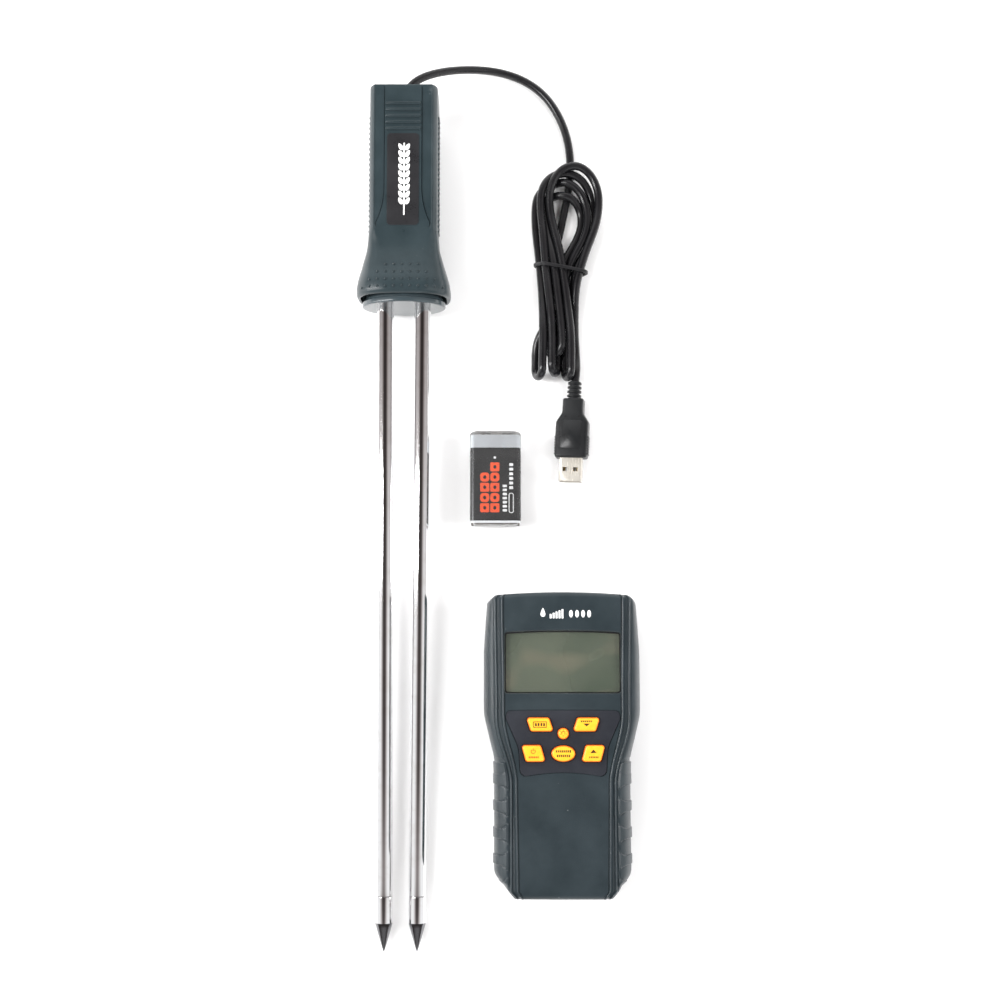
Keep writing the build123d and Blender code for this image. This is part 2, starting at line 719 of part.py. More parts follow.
mat_thick, dome_top = 1.4, 26.0
with BuildPart() as keypad_mat:
    with BuildSketch(above(unit_plane, board_top + 0.05)):
        with Locations((0, 2.6)):
            RectangleRounded(50.0, 26.4, 3.0)
    extrude(amount=mat_thick)
    for kind, x, y, width, height, skew in keys.values():
        with BuildSketch(above(unit_plane, board_top + 0.05)):
            with Locations((x, y)):
                Circle(0.36 * min(width, height))
        extrude(amount=dome_top - board_top - 0.05)
keep("keypad_mat", keypad_mat.part)

with BuildPart() as window:
    with BuildSketch(above(unit_plane, face_underside - 1.45)):
        with Locations((0, window_y)):
            RectangleRounded(window_width + 4.4, window_height + 3.6, 2.0)
    extrude(amount=1.4)
    add(raised(window_outline(-0.15), face_underside - 0.1))
    extrude(amount=1.3)
keep("display_window", window.part)

panel_width, panel_length, panel_bottom = 60.4, 34.0, 25.4
with BuildPart() as display_panel:
    with BuildSketch(above(unit_plane, panel_bottom)):
        with Locations((0, window_y)):
            Rectangle(panel_width, panel_length)
    extrude(amount=2.6)
keep("display_panel", display_panel.part)

with BuildPart() as display_backlight:
    with BuildSketch(above(unit_plane, board_top + 0.1)):
        with Locations((0, window_y + 2.4)):
            Rectangle(panel_width, panel_length - 5.0)
    extrude(amount=panel_bottom - board_top - 0.2)
keep("display_backlight", display_backlight.part)

with BuildPart() as contact_strip:
    with BuildSketch(above(unit_plane, board_top + 0.1)):
        with Locations((0, window_y - panel_length / 2 + 2.0)):
            Rectangle(54.0, 2.2)
    extrude(amount=panel_bottom - board_top - 0.2)
keep("contact_strip", contact_strip.part)

with BuildPart() as display_frame:
    with BuildSketch(above(unit_plane, board_top + 0.05)):
        with Locations((0, window_y)):
            RectangleRounded(panel_width + 3.0, panel_length + 3.0, 1.5)
            Rectangle(panel_width + 0.4, panel_length + 0.4, mode=Mode.SUBTRACT)
    extrude(amount=28.2 - board_top - 0.05)
keep("display_frame", display_frame.part)

with BuildPart() as circuit_board:
    with BuildSketch(above(unit_plane, board_bottom)):
        with Locations((0, 37.2)):
            Rectangle(64.0, 62.6)
        with Locations((0, -2.5)):
            Rectangle(60.0, 18.2)
        with Locations(*case_screw_places[:2]):
            Circle(case_boss_radius + 1.0, mode=Mode.SUBTRACT)
        with Locations(*board_screw_places):
            Circle(case_screw_radius + 0.2, mode=Mode.SUBTRACT)
    extrude(amount=board_thick)
keep("circuit_board", circuit_board.part)

with BuildPart() as board_screws:
    with BuildSketch(above(unit_plane, board_bottom - 1.5)):
        with Locations(*board_screw_places):
            Circle(2.2)
    extrude(amount=1.45)
    with BuildSketch(above(unit_plane, board_bottom - 1.5)):
        with Locations(*board_screw_places):
            Circle(case_screw_radius)
    extrude(amount=7.0)
keep("board_screws", board_screws.part)

with BuildPart() as case_screws:
    with BuildSketch(above(unit_plane, seat_depth - case_head_depth)):
        with Locations(*case_screw_places):
            Circle(case_head_radius)
    extrude(amount=case_head_depth)
    with BuildSketch(above(unit_plane, seat_depth)):
        with Locations(*case_screw_places):
            Circle(case_screw_radius)
    extrude(amount=20.0)
    with BuildSketch(above(unit_plane, seat_depth - case_head_depth)):
        with Locations(*case_screw_places):
            Rectangle(3.2, 0.7)
            Rectangle(0.7, 3.2)
    extrude(amount=1.2, mode=Mode.SUBTRACT)
keep("case_screws", case_screws.part)

with BuildPart() as probe_socket:
    with BuildSketch(Plane.XZ.offset(-(unit_y + socket_high))):
        with Locations((unit_x, socket_bottom + socket_height / 2)):
            RectangleRounded(socket_width, socket_height, 0.6)
            Rectangle(socket_width - 0.7, socket_height - 0.7, mode=Mode.SUBTRACT)
    extrude(amount=socket_high - socket_low)
    with BuildSketch(Plane.XZ.offset(-(unit_y + socket_low + 2))):
        with Locations((unit_x, socket_bottom + socket_height / 2)):
            Rectangle(socket_width - 0.7, socket_height - 0.7)
    extrude(amount=2.0)
    with BuildSketch(Plane.XZ.offset(-(unit_y + socket_high - 1.0))):
        with Locations((unit_x, socket_bottom + socket_height / 2 + 1.0)):
            Rectangle(socket_width - 2.2, 1.8)
    extrude(amount=socket_high - socket_low - 1.0)
keep("probe_socket", probe_socket.part)

snap_thick, snap_height = 5.0, 12.0
stud_height, stud_spacing = 2.4, 12.7
with BuildPart() as battery_snap:
    with BuildSketch(Plane.XZ.offset(-(unit_y + bay_high - 0.5))):
        with Locations((unit_x, 11.0)):
            RectangleRounded(26.0, snap_height, 3.0)
    extrude(amount=snap_thick - 1.0)
    for stud_side, stud_radius in ((-1, 2.9), (1, 3.9)):
        with BuildSketch(Plane.XZ.offset(-(unit_y + bay_high - snap_thick + 0.5))):
            with Locations((unit_x + stud_side * stud_spacing / 2, 11.0)):
                Circle(stud_radius)
        extrude(amount=stud_height)
keep("battery_snap", battery_snap.part)

with BuildPart() as battery_leads:
    for side in (-1, 1):
        start = Vector(unit_x + side * 2.6, unit_y + bay_high - 0.4, 11.0)
        with BuildLine() as lead_path:
            FilletPolyline(
                start, start + Vector(0, 7.5, 0), start + Vector(0, 7.5, board_bottom - 11.1),
                radius=3.0,
            )
        with BuildSketch(Plane(origin=lead_path.wire() @ 0, z_dir=lead_path.wire() % 0)):
            Circle(lead_radius)
        sweep(path=lead_path.wire())
keep("battery_leads", battery_leads.part)

pad_thick = 1.2
with BuildPart() as battery_pad:
    with BuildSketch(above(unit_plane, bay_roof - pad_thick)):
        with Locations((0, bay_middle_y - 8)):
            Rectangle(20.0, 30.0)
    extrude(amount=pad_thick - 0.05)
keep("battery_pad", battery_pad.part)


# ================================================================ battery
film_thick = 0.2
jacket_width, jacket_depth, jacket_length = 25.8, 16.9, 45.8
jacket_wall = 0.35
jacket_low = -battery_length / 2 + film_thick + 0.05
jacket_middle_y = jacket_low + jacket_length / 2


def battery_block(width, depth, low, length, corner):
    """A block across the battery, centred on its middle, from a low end along +Y."""
    with BuildPart() as block:
        with BuildSketch(Plane.XZ.offset(-(battery_y + low + length))):
            with Locations((battery_x, battery_depth / 2)):
                RectangleRounded(width, depth, corner)
        extrude(amount=length)
    return block.part


with BuildPart() as battery_film:
    add(battery_block(battery_width, battery_depth, -battery_length / 2, battery_length, 2.2))
    add(battery_block(battery_width - 2 * film_thick, battery_depth - 2 * film_thick,
                      -battery_length / 2 + film_thick, battery_length - 2 * film_thick, 2.0),
        mode=Mode.SUBTRACT)
keep("battery_film", battery_film.part)

with BuildPart() as battery_jacket:
    add(battery_block(jacket_width, jacket_depth, jacket_low, jacket_length, 1.9))
    add(battery_block(jacket_width - 2 * jacket_wall, jacket_depth - 2 * jacket_wall,
                      jacket_low - 1, jacket_length + 2, 1.55), mode=Mode.SUBTRACT)
keep("battery_jacket", battery_jacket.part)

end_plate_size = (jacket_width - 2 * jacket_wall - 0.1, jacket_depth - 2 * jacket_wall - 0.1)
with BuildPart() as battery_top:
    add(battery_block(*end_plate_size, jacket_low + jacket_length - 1.6, 1.2, 1.5))
keep("battery_top", battery_top.part)

with BuildPart() as battery_base:
    add(battery_block(*end_plate_size, jacket_low + 0.3, 1.2, 1.5))
keep("battery_base", battery_base.part)

with BuildPart() as battery_cells:
    add(battery_block(24.4, 15.6, jacket_low + 1.7, jacket_length - 3.6, 1.0))
keep("battery_cells", battery_cells.part)

stud_low = battery_y + jacket_low + jacket_length - 0.35
for side, radius, bore, name in ((1, 2.9, 1.2, "battery_stud"), (-1, 3.9, 2.9, "battery_crown")):
    with BuildPart() as stud:
        with BuildSketch(Plane.XZ.offset(-(stud_low + stud_height))):
            with Locations((battery_x + side * stud_spacing / 2, battery_depth / 2)):
                Circle(radius)
        extrude(amount=stud_height)
        with BuildSketch(Plane.XZ.offset(-(stud_low + stud_height))):
            with Locations((battery_x + side * stud_spacing / 2, battery_depth / 2)):
                Circle(bore)
        extrude(amount=stud_height - 0.5, mode=Mode.SUBTRACT)
    keep(name, stud.part)
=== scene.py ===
"""Grain moisture meter: the looks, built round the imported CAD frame.

Sizes are in millimetres in the classes below and become metres when a mesh is made.
The probe has its own directions: x across it, s along it from the rods' points, w up out of its front face.
"""

import logging
import math
import random
from dataclasses import dataclass
from enum import Enum
from typing import Callable, Iterable, Optional, Sequence, Union

import bmesh
import bpy
from mathutils import Matrix, Vector


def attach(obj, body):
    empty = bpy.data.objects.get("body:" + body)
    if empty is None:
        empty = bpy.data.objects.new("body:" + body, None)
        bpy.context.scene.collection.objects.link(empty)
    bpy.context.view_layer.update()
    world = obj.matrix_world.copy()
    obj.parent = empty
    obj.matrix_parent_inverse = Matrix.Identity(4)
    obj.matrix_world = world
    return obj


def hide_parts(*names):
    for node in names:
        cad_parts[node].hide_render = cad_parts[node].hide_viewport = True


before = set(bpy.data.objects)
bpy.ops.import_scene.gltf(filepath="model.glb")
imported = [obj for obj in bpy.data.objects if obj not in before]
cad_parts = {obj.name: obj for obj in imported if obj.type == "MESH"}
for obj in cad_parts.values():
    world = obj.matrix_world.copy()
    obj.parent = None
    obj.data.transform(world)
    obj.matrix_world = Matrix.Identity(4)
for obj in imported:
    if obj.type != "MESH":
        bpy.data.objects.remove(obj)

logging.basicConfig(level=logging.INFO, format="%(message)s")
log = logging.getLogger("meter")

MM = 0.001
Point = tuple[float, float, float]
Flat = tuple[float, float]
Colour = tuple[float, float, float]


# ---------------------------------------------------------------- shader writing


class Value:
    """A shader socket that takes part in Python arithmetic."""

    def __init__(self, shader: "Shader", socket: bpy.types.NodeSocket) -> None:
        """Wraps a socket.

        Args:
            shader: the shader that the socket's node is in.
            socket: the output socket.
        """
        self.shader = shader
        self.socket = socket

    def _math(self, operation: str, *values: "Term") -> "Value":
        """Adds one Math node.

        Args:
            operation: the node's operation.
            values: its inputs in order.

        Returns:
            The node's result.
        """
        return self.shader.node("ShaderNodeMath", {"operation": operation}, dict(enumerate(values)))

    def __add__(self, other: "Term") -> "Value":
        """self + other."""
        return self._math("ADD", self, other)

    def __sub__(self, other: "Term") -> "Value":
        """self - other."""
        return self._math("SUBTRACT", self, other)

    def __rsub__(self, other: "Term") -> "Value":
        """other - self."""
        return self._math("SUBTRACT", other, self)

    def __mul__(self, other: "Term") -> "Value":
        """self * other."""
        return self._math("MULTIPLY", self, other)

    def __gt__(self, other: "Term") -> "Value":
        """1 where self is greater than other, else 0."""
        return self._math("GREATER_THAN", self, other)

    __radd__ = __add__
    __rmul__ = __mul__

    def clamped(self) -> "Value":
        """Held between 0 and 1."""
        return self.shader.node("ShaderNodeClamp", {}, {"Value": self})

    def output(self, name: Union[str, int]) -> "Value":
        """Another output of the same node."""
        return Value(self.shader, self.socket.node.outputs[name])

    def axis(self, name: str) -> "Value":
        """One component, X, Y or Z, of a vector."""
        return self.shader.node("ShaderNodeSeparateXYZ", {}, {"Vector": self}).output(name)


Term = Union[Value, float, int, tuple]
Owner = Union[bpy.types.Material, bpy.types.World]


class Shader:
    """The node tree of a material or of the world, written as Python expressions."""

    def __init__(self, owner: Owner) -> None:
        """Empties a node tree.

        Args:
            owner: the material or world that it belongs to.
        """
        self.owner = owner
        owner.use_nodes = True
        self.tree = owner.node_tree
        self.tree.nodes.clear()

    def node(self, kind: str, settings: Optional[dict] = None, inputs: Optional[dict] = None) -> Value:
        """Adds one node.

        Args:
            kind: the node's type.
            settings: its properties; "stops" are a ramp's (place, colour) pairs.
            inputs: socket name or number to a value or a link.

        Returns:
            Its first output that is in use.
        """
        made = self.tree.nodes.new(kind)
        for name, value in (settings or {}).items():
            if name == "stops":
                ramp = made.color_ramp.elements
                while len(ramp) < len(value):
                    ramp.new(0.5)
                for stop, (place, colour) in zip(ramp, value):
                    stop.position = place
                    stop.color = (*colour, 1.0)
            else:
                setattr(made, name, value)
        for name, value in (inputs or {}).items():
            if isinstance(value, Value):
                self.tree.links.new(value.socket, made.inputs[name])
            else:
                socket = made.inputs[name]
                wide = hasattr(socket.default_value, "__len__") and len(socket.default_value) == 4
                socket.default_value = (*value, 1.0) if wide and len(value) == 3 else value
        return Value(self, next((o for o in made.outputs if o.enabled), None)) if made.outputs else None

    def place(self) -> Value:
        """The point on the piece, in metres, from the piece's own origin."""
        return self.node("ShaderNodeTexCoord").output("Object")

    def noise(
        self, scale: float, detail: float = 3.0, roughness: float = 0.5, stretch: Point = (1, 1, 1)
    ) -> Value:
        """A noise over the piece.

        Args:
            scale: how many features in a metre.
            detail: how many finer layers are added.
            roughness: the strength of the finer layers.
            stretch: how much finer it is along each axis.

        Returns:
            The noise, from 0 to 1.
        """
        where = self.node("ShaderNodeMapping", {}, {"Vector": self.place(), "Scale": stretch})
        inputs = {"Vector": where, "Scale": scale, "Detail": detail, "Roughness": roughness}
        return self.node("ShaderNodeTexNoise", {}, inputs)

    def cells(self, scale: float) -> Value:
        """The distance to the nearest of many scattered points.

        Args:
            scale: how many points in a metre.

        Returns:
            The distance, as a share of a cell.
        """
        return self.node("ShaderNodeTexVoronoi", {}, {"Vector": self.place(), "Scale": scale})

    def between(self, factor: Term, first: Term, second: Term, blend: str = "MIX") -> Value:
        """Mixes two colours.

        Args:
            factor: 0 for the first, 1 for the second.
            first: a colour.
            second: a colour.
            blend: how the second goes over the first.

        Returns:
            The mixed colour.
        """
        settings = {"data_type": "RGBA", "blend_type": blend}
        return self.node("ShaderNodeMix", settings, {0: factor, 6: first, 7: second}).output(2)

    def bump(self, height: Value, depth: float, strength: float = 1.0) -> Value:
        """A bump from a height.

        Args:
            height: the height, from 0 to 1.
            depth: what 1 stands for, in metres.
            strength: how much of it shows.

        Returns:
            The normal.
        """
        return self.node("ShaderNodeBump", {}, {"Height": height, "Distance": depth, "Strength": strength})

    def principled(self, inputs: dict) -> Value:
        """A Principled surface with these inputs."""
        return self.node("ShaderNodeBsdfPrincipled", {}, inputs)

    def finish(self, surface: Value, output: str = "ShaderNodeOutputMaterial") -> Owner:
        """Links a surface to the output and returns the tree's owner."""
        self.node(output, {}, {"Surface": surface})
        return self.owner


MADE: dict[str, bpy.types.Material] = {}


@dataclass(frozen=True)
class Finish:
    """A finish that pieces are dressed in. Each kind writes its own surface."""

    name: str

    def surface(self, shader: Shader) -> Value:
        """Writes the finish's nodes."""
        raise NotImplementedError

    def material(self) -> bpy.types.Material:
        """The finish as a material, made once."""
        if self.name not in MADE:
            shader = Shader(bpy.data.materials.new(self.name))
            MADE[self.name] = shader.finish(self.surface(shader))
        return MADE[self.name]


@dataclass(frozen=True)
class MouldedPlastic(Finish):
    """Moulded plastic with spark-eroded grain, slight unevenness of tone and a few pale specks of dust."""

    colour: Colour = (0.05, 0.07, 0.08)
    roughness: float = 0.45
    grain: float = 2600.0
    depth: float = 0.00004
    specks: float = 0.5
    gloss: float = 0.5
    coat: float = 0.0

    def surface(self, shader: Shader) -> Value:
        """Writes the plastic's nodes.

        Args:
            shader: the material's shader.

        Returns:
            The surface.
        """
        grain = shader.noise(self.grain, 2.0, 0.6)
        tone = shader.noise(55.0, 4.0, 0.55)
        dust = (1 - shader.cells(260.0) * 14.0).clamped() * (shader.noise(40.0) > 0.56) * self.specks
        darker = tuple(c * 0.86 for c in self.colour)
        lighter = tuple(min(1.0, c * 1.16 + 0.004) for c in self.colour)
        colour = shader.between((tone * 2.4 - 0.7).clamped(), darker, lighter)
        colour = shader.between(dust, colour, (0.45, 0.47, 0.48))
        return shader.principled({
            "Base Color": colour,
            "Roughness": (tone * 0.16 + grain * 0.10 + (self.roughness - 0.13)).clamped(),
            "Specular IOR Level": self.gloss,
            "Coat Weight": self.coat,
            "Coat Roughness": 0.08,
            "Normal": shader.bump(grain, self.depth),
        })


@dataclass(frozen=True)
class Metal(Finish):
    """Plated or polished metal, with faint draw lines along one axis and a little tarnish."""

    colour: Colour = (0.8, 0.8, 0.81)
    roughness: float = 0.06
    tarnish: Colour = (0.5, 0.45, 0.4)
    worn: float = 0.15
    stretch: Point = (1.0, 0.02, 1.0)
    depth: float = 0.000004
    plated: float = 1.0

    def surface(self, shader: Shader) -> Value:
        """Writes the metal's nodes.

        Args:
            shader: the material's shader.

        Returns:
            The surface.
        """
        lines = shader.noise(2200.0, 2.0, 0.5, self.stretch)
        stain = shader.noise(90.0, 5.0, 0.6)
        colour = shader.between((stain * 3.0 - 1.5).clamped() * self.worn, self.colour, self.tarnish)
        return shader.principled({
            "Base Color": colour,
            "Metallic": self.plated,
            "Roughness": (lines * 0.06 + stain * 0.05 + (self.roughness - 0.05)).clamped(),
            "Normal": shader.bump(lines, self.depth),
        })


@dataclass(frozen=True)
class Soft(Finish):
    """Rubber, silicone, vinyl or foam: a soft sheen over fine unevenness."""

    colour: Colour = (0.02, 0.02, 0.022)
    roughness: float = 0.35
    grain: float = 900.0
    depth: float = 0.00002
    sheen: float = 0.0
    gloss: float = 0.5

    def surface(self, shader: Shader) -> Value:
        """Writes the soft finish's nodes.

        Args:
            shader: the material's shader.

        Returns:
            The surface.
        """
        grain = shader.noise(self.grain, 4.0, 0.6)
        tone = shader.noise(70.0, 3.0, 0.5)
        lighter = tuple(min(1.0, c * 1.3 + 0.003) for c in self.colour)
        return shader.principled({
            "Base Color": shader.between((tone * 2.0 - 0.5).clamped(), self.colour, lighter),
            "Roughness": (tone * 0.14 + (self.roughness - 0.07)).clamped(),
            "Specular IOR Level": self.gloss,
            "Sheen Weight": self.sheen,
            "Normal": shader.bump(grain, self.depth),
        })


@dataclass(frozen=True)
class KeyRubber(Finish):
    """Printed silicone: an orange-yellow top that turns darker red-orange towards its edge, as painted shade."""

    top: Colour = (0.93, 0.43, 0.022)
    # edge: the painted shade colour on the key's sides and falling shoulder
    edge: Colour = (0.72, 0.13, 0.012)

    def surface(self, shader: Shader) -> Value:
        """Writes the key's nodes.

        Args:
            shader: the material's shader.

        Returns:
            The surface.
        """
        # the rim share mixes in the painted edge shade
        rim = shader.node("ShaderNodeAttribute", {"attribute_name": "rim"})
        share = Value(shader, rim.socket.node.outputs["Fac"])
        tone = shader.noise(420.0, 3.0, 0.6)
        top = shader.between((tone * 2.0 - 0.6).clamped() * 0.5, self.top, (0.98, 0.56, 0.05))
        return shader.principled({
            "Base Color": shader.between(share, top, self.edge),
            "Roughness": (tone * 0.12 + 0.32).clamped(),
            "Normal": shader.bump(shader.noise(2400.0, 2.0), 0.00002),
        })


@dataclass(frozen=True)
class Display(Finish):
    """A liquid-crystal panel that is off: grey-green, with painted reflections as soft cloudy green and warm
    brown blotches, and a faint dot grid.
    """

    colour: Colour = (0.150, 0.162, 0.112)
    # painted reflection colours: warm brown patches and cool green clouds over the grey-green
    painted_reflection_warm: Colour = (0.23, 0.20, 0.14)
    painted_reflection_cool: Colour = (0.085, 0.108, 0.066)

    def surface(self, shader: Shader) -> Value:
        """Writes the display's nodes.

        Args:
            shader: the material's shader.

        Returns:
            The surface.
        """
        # the two noises paint soft reflections on the panel as blotches; the first also varies the roughness
        reflection_cloud = shader.noise(30.0, 1.0, 0.4)
        reflection_patch = shader.noise(48.0, 0.0, 0.4, (1.0, 1.5, 1.0))
        colour = shader.between((reflection_cloud * 4.5 - 1.8).clamped(), self.painted_reflection_cool, self.colour)
        colour = shader.between((reflection_patch * 5.0 - 2.7).clamped() * 0.85, colour, self.painted_reflection_warm)
        return shader.principled({
            "Base Color": colour,
            "Roughness": (reflection_cloud * 0.1 + 0.22).clamped(),
            "Normal": shader.bump(shader.noise(900.0, 1.0), 0.000001),
        })


@dataclass(frozen=True)
class ClearFilm(Finish):
    """Clear sheet or glass: what is behind shows, with gloss on top of it."""

    colour: Colour = (1.0, 1.0, 1.0)
    roughness: float = 0.05
    haze: float = 0.03
    depth: float = 0.0
    wrinkle: float = 300.0

    def surface(self, shader: Shader) -> Value:
        """Writes the clear finish's nodes.

        Args:
            shader: the material's shader.

        Returns:
            The surface.
        """
        waves = shader.noise(self.wrinkle, 3.0, 0.55)
        normal = shader.bump(waves, self.depth)
        gloss = shader.principled({
            "Base Color": (0.9, 0.9, 0.9),
            "Roughness": (waves * 0.05 + self.roughness).clamped(),
            "Normal": normal,
        })
        clear = shader.node("ShaderNodeBsdfTransparent", {}, {"Color": self.colour})
        facing = shader.node("ShaderNodeFresnel", {}, {"IOR": 1.42, "Normal": normal})
        return shader.node(
            "ShaderNodeMixShader", {}, {0: (facing * 0.9 + waves * self.haze).clamped(), 1: clear, 2: gloss}
        )


class Dress:
    HANDLE = MouldedPlastic("handle_moulding", (0.020, 0.032, 0.037), 0.31, 2300.0, 0.00003, 0.35)
    CASE = MouldedPlastic("case_moulding", (0.020, 0.029, 0.034), 0.34, 2600.0, 0.00005, 0.8)
    BASE = MouldedPlastic("base_polished", (0.040, 0.056, 0.064), 0.20, 500.0, 0.000004, 0.1, 0.6, 0.4)
    CHROME = Metal("rod_chrome", (0.86, 0.86, 0.87), 0.07, (0.45, 0.40, 0.34), 0.30)
    # The points' steel colour is painted dark: the darkness stands in for the dark reflection that the points
    # show.
    POINT_STEEL_DARK_REFLECTION = Metal("point_steel_painted_reflection", (0.20, 0.20, 0.21), 0.16, (0.1, 0.1, 0.1), 0.4, (1.0, 1.0, 1.0), 0.00001)
    ZINC = Metal("nut_zinc", (0.6, 0.6, 0.58), 0.30)
    BLACKENED = Metal("screw_blackened", (0.08, 0.08, 0.085), 0.35)
    NICKEL = Metal(
        "plug_nickel_plate", (0.62, 0.59, 0.53), 0.26, (0.45, 0.38, 0.28), 0.35, (1.0, 0.05, 1.0), 0.00001,
        0.45
    )
    GOLD = Metal("contact_gold_flash", (0.85, 0.62, 0.25), 0.2)
    CAN = Metal(
        "battery_can_steel", (0.66, 0.68, 0.70), 0.34, (0.4, 0.4, 0.42), 0.3, (0.04, 1.0, 1.0), 0.00001,
        0.25
    )
    TERMINAL = Metal("battery_terminal", (0.74, 0.74, 0.74), 0.2)
    SOCKET = Metal("socket_plate", (0.66, 0.66, 0.64), 0.25)
    CORD = Soft("lead_vinyl", (0.006, 0.006, 0.007), 0.26, 500.0, 0.00001, 0.0, 0.6)
    TIE = Soft("tie_vinyl", (0.009, 0.009, 0.010), 0.42, 700.0)
    PLUG = MouldedPlastic("plug_moulding", (0.010, 0.011, 0.012), 0.30, 1900.0, 0.00003, 0.15)
    # A near-black matte finish that paints the shade inside the plug's small dimples.
    PAINTED_HOLLOW_SHADE = Soft("plug_painted_hollow_shade", (0.002, 0.002, 0.002), 0.6)
    TONGUE = MouldedPlastic("tongue_moulding", (0.75, 0.75, 0.73), 0.5)
    LABEL = MouldedPlastic("label_film", (0.019, 0.019, 0.021), 0.30, 1500.0, 0.000008, 0.5, 0.5, 0.2)
    OVERLAY = MouldedPlastic("overlay_film", (0.018, 0.020, 0.026), 0.42, 3000.0, 0.00003, 0.3)
    KEYS = KeyRubber("key_silicone_edge_shade")
    MAT = Soft("mat_silicone", (0.16, 0.17, 0.18), 0.5)
    WINDOW = ClearFilm("window_acrylic", (0.93, 0.96, 0.94), 0.04, 0.0)
    FILM = ClearFilm("battery_shrink_film", (0.96, 0.97, 0.98), 0.05, 0.02, 0.00030, 150.0)
    LCD = Display("display_glass")
    DIFFUSER = Soft("light_diffuser", (0.7, 0.72, 0.7), 0.4)
    STRIP = Soft("contact_rubber", (0.05, 0.05, 0.05), 0.6)
    FRAME = MouldedPlastic("display_frame", (0.006, 0.006, 0.007), 0.4)
    BOARD = MouldedPlastic("board_laminate", (0.01, 0.09, 0.03), 0.3)
    VINYL = Soft("snap_vinyl", (0.012, 0.012, 0.013), 0.45)
    WIRE = Soft("wire_insulation", (0.3, 0.012, 0.010), 0.4)
    FOAM = Soft("pad_foam", (0.02, 0.02, 0.02), 0.9, 1800.0, 0.0002)
    BATTERY_INK = MouldedPlastic(
        "battery_black_print", (0.004, 0.004, 0.005), 0.26, 700.0, 0.000006, 0.7, 0.6, 0.4
    )
    FIBRE = Soft("battery_fibre", (0.10, 0.08, 0.06), 0.7)
    WHITE_INK = Soft("white_print", (0.86, 0.86, 0.85), 0.5, 1200.0, 0.000005)
    DARK_INK = Soft("dark_print", (0.05, 0.022, 0.006), 0.5, 1200.0, 0.000005)
    RED_INK = Soft("red_print", (0.60, 0.030, 0.010), 0.5, 1200.0, 0.000005)
    ORANGE_INK = Soft("orange_print", (0.85, 0.10, 0.015), 0.4, 1200.0, 0.000005)


# ---------------------------------------------------------------- mesh writing


Mesh = tuple[list[Point], list[tuple[int, ...]]]


def joined(parts: Iterable[Mesh]) -> Mesh:
    """Several meshes as one.

    Args:
        parts: the meshes.

    Returns:
        One mesh with all their points and faces.
    """
    points: list[Point] = []
    faces: list[tuple[int, ...]] = []
    for part_points, part_faces in parts:
        start = len(points)
        points += part_points
        faces += [tuple(i + start for i in face) for face in part_faces]
    return points, faces


def loft(rings: Sequence[Sequence[Point]], close: bool = True) -> Mesh:
    """A skin over rings with the same number of points.

    Args:
        rings: the rings, each going round the same way.
        close: whether the first and last are filled.

    Returns:
        The mesh.
    """
    count = len(rings[0])
    points = [point for ring in rings for point in ring]
    faces = [
        (k * count + i, k * count + (i + 1) % count, (k + 1) * count + (i + 1) % count, (k + 1) * count + i)
        for k in range(len(rings) - 1)
        for i in range(count)
    ]
    if close:
        last = (len(rings) - 1) * count
        faces += [tuple(reversed(range(count))), tuple(range(last, last + count))]
    return points, faces


def hoop(rings: Sequence[Sequence[Point]]) -> Mesh:
    """A skin over rings with the last joined to the first."""
    points, faces = loft([*rings, rings[0]], close=False)
    whole = len(rings) * len(rings[0])
    return points[:whole], [tuple(i % whole for i in face) for face in faces]


def moved(mesh: Mesh, change: Callable[[Point], Point]) -> Mesh:
    """A mesh with each of its points changed.

    Args:
        mesh: the mesh.
        change: takes a point and gives its new place.

    Returns:
        The changed mesh.
    """
    return [change(point) for point in mesh[0]], mesh[1]


def shifted(mesh: Mesh, x: float, y: float, z: float = 0.0) -> Mesh:
    """A mesh moved by a distance along each axis."""
    return moved(mesh, lambda p: (p[0] + x, p[1] + y, p[2] + z))


def turn_of(count: int) -> list[float]:
    """Angles evenly spaced round one turn."""
    return [2 * math.pi * i / count for i in range(count)]


def filleted(corners: Sequence[Flat], radii: Sequence[float], step: float = 9.0) -> list[Flat]:
    """A closed outline with its corners rounded.

    Args:
        corners: the outline's corners.
        radii: the radius at each corner.
        step: the largest turn between two points, in degrees.

    Returns:
        The outline's points.
    """
    outline: list[Flat] = []
    for k, corner in enumerate(corners):
        here = Vector(corner)
        back = (Vector(corners[k - 1]) - here).normalized()
        ahead = (Vector(corners[(k + 1) % len(corners)]) - here).normalized()
        turn = math.pi - back.angle(ahead)
        if radii[k] <= 0 or turn < math.radians(1):
            outline.append((here.x, here.y))
            continue
        reach = radii[k] * math.tan(turn / 2)
        middle = here + (back + ahead).normalized() * (radii[k] / math.cos(turn / 2))
        start, end = here + back * reach - middle, here + ahead * reach - middle
        pieces = max(2, math.ceil(math.degrees(turn) / step))
        swing = start.angle_signed(end)
        for i in range(pieces + 1):
            angle = -swing * i / pieces
            c, s = math.cos(angle), math.sin(angle)
            outline.append((middle.x + start.x * c - start.y * s, middle.y + start.x * s + start.y * c))
    return outline


def rounded_box(
    width: float, height: float, radius: float, per_corner: int = 6, middle: Flat = (0.0, 0.0)
) -> list[Flat]:
    """A rounded rectangle.

    Args:
        width: along x.
        height: along y.
        radius: of its corners.
        per_corner: how many steps each corner has.
        middle: where its middle is.

    Returns:
        Its points, anticlockwise.
    """
    outline: list[Flat] = []
    for quarter, (sx, sy) in enumerate(((1, 1), (-1, 1), (-1, -1), (1, -1))):
        for i in range(per_corner + 1):
            angle = math.pi / 2 * (quarter + i / per_corner)
            x = sx * (width / 2 - radius) + radius * math.cos(angle) + middle[0]
            y = sy * (height / 2 - radius) + radius * math.sin(angle) + middle[1]
            outline.append((x, y))
    return outline


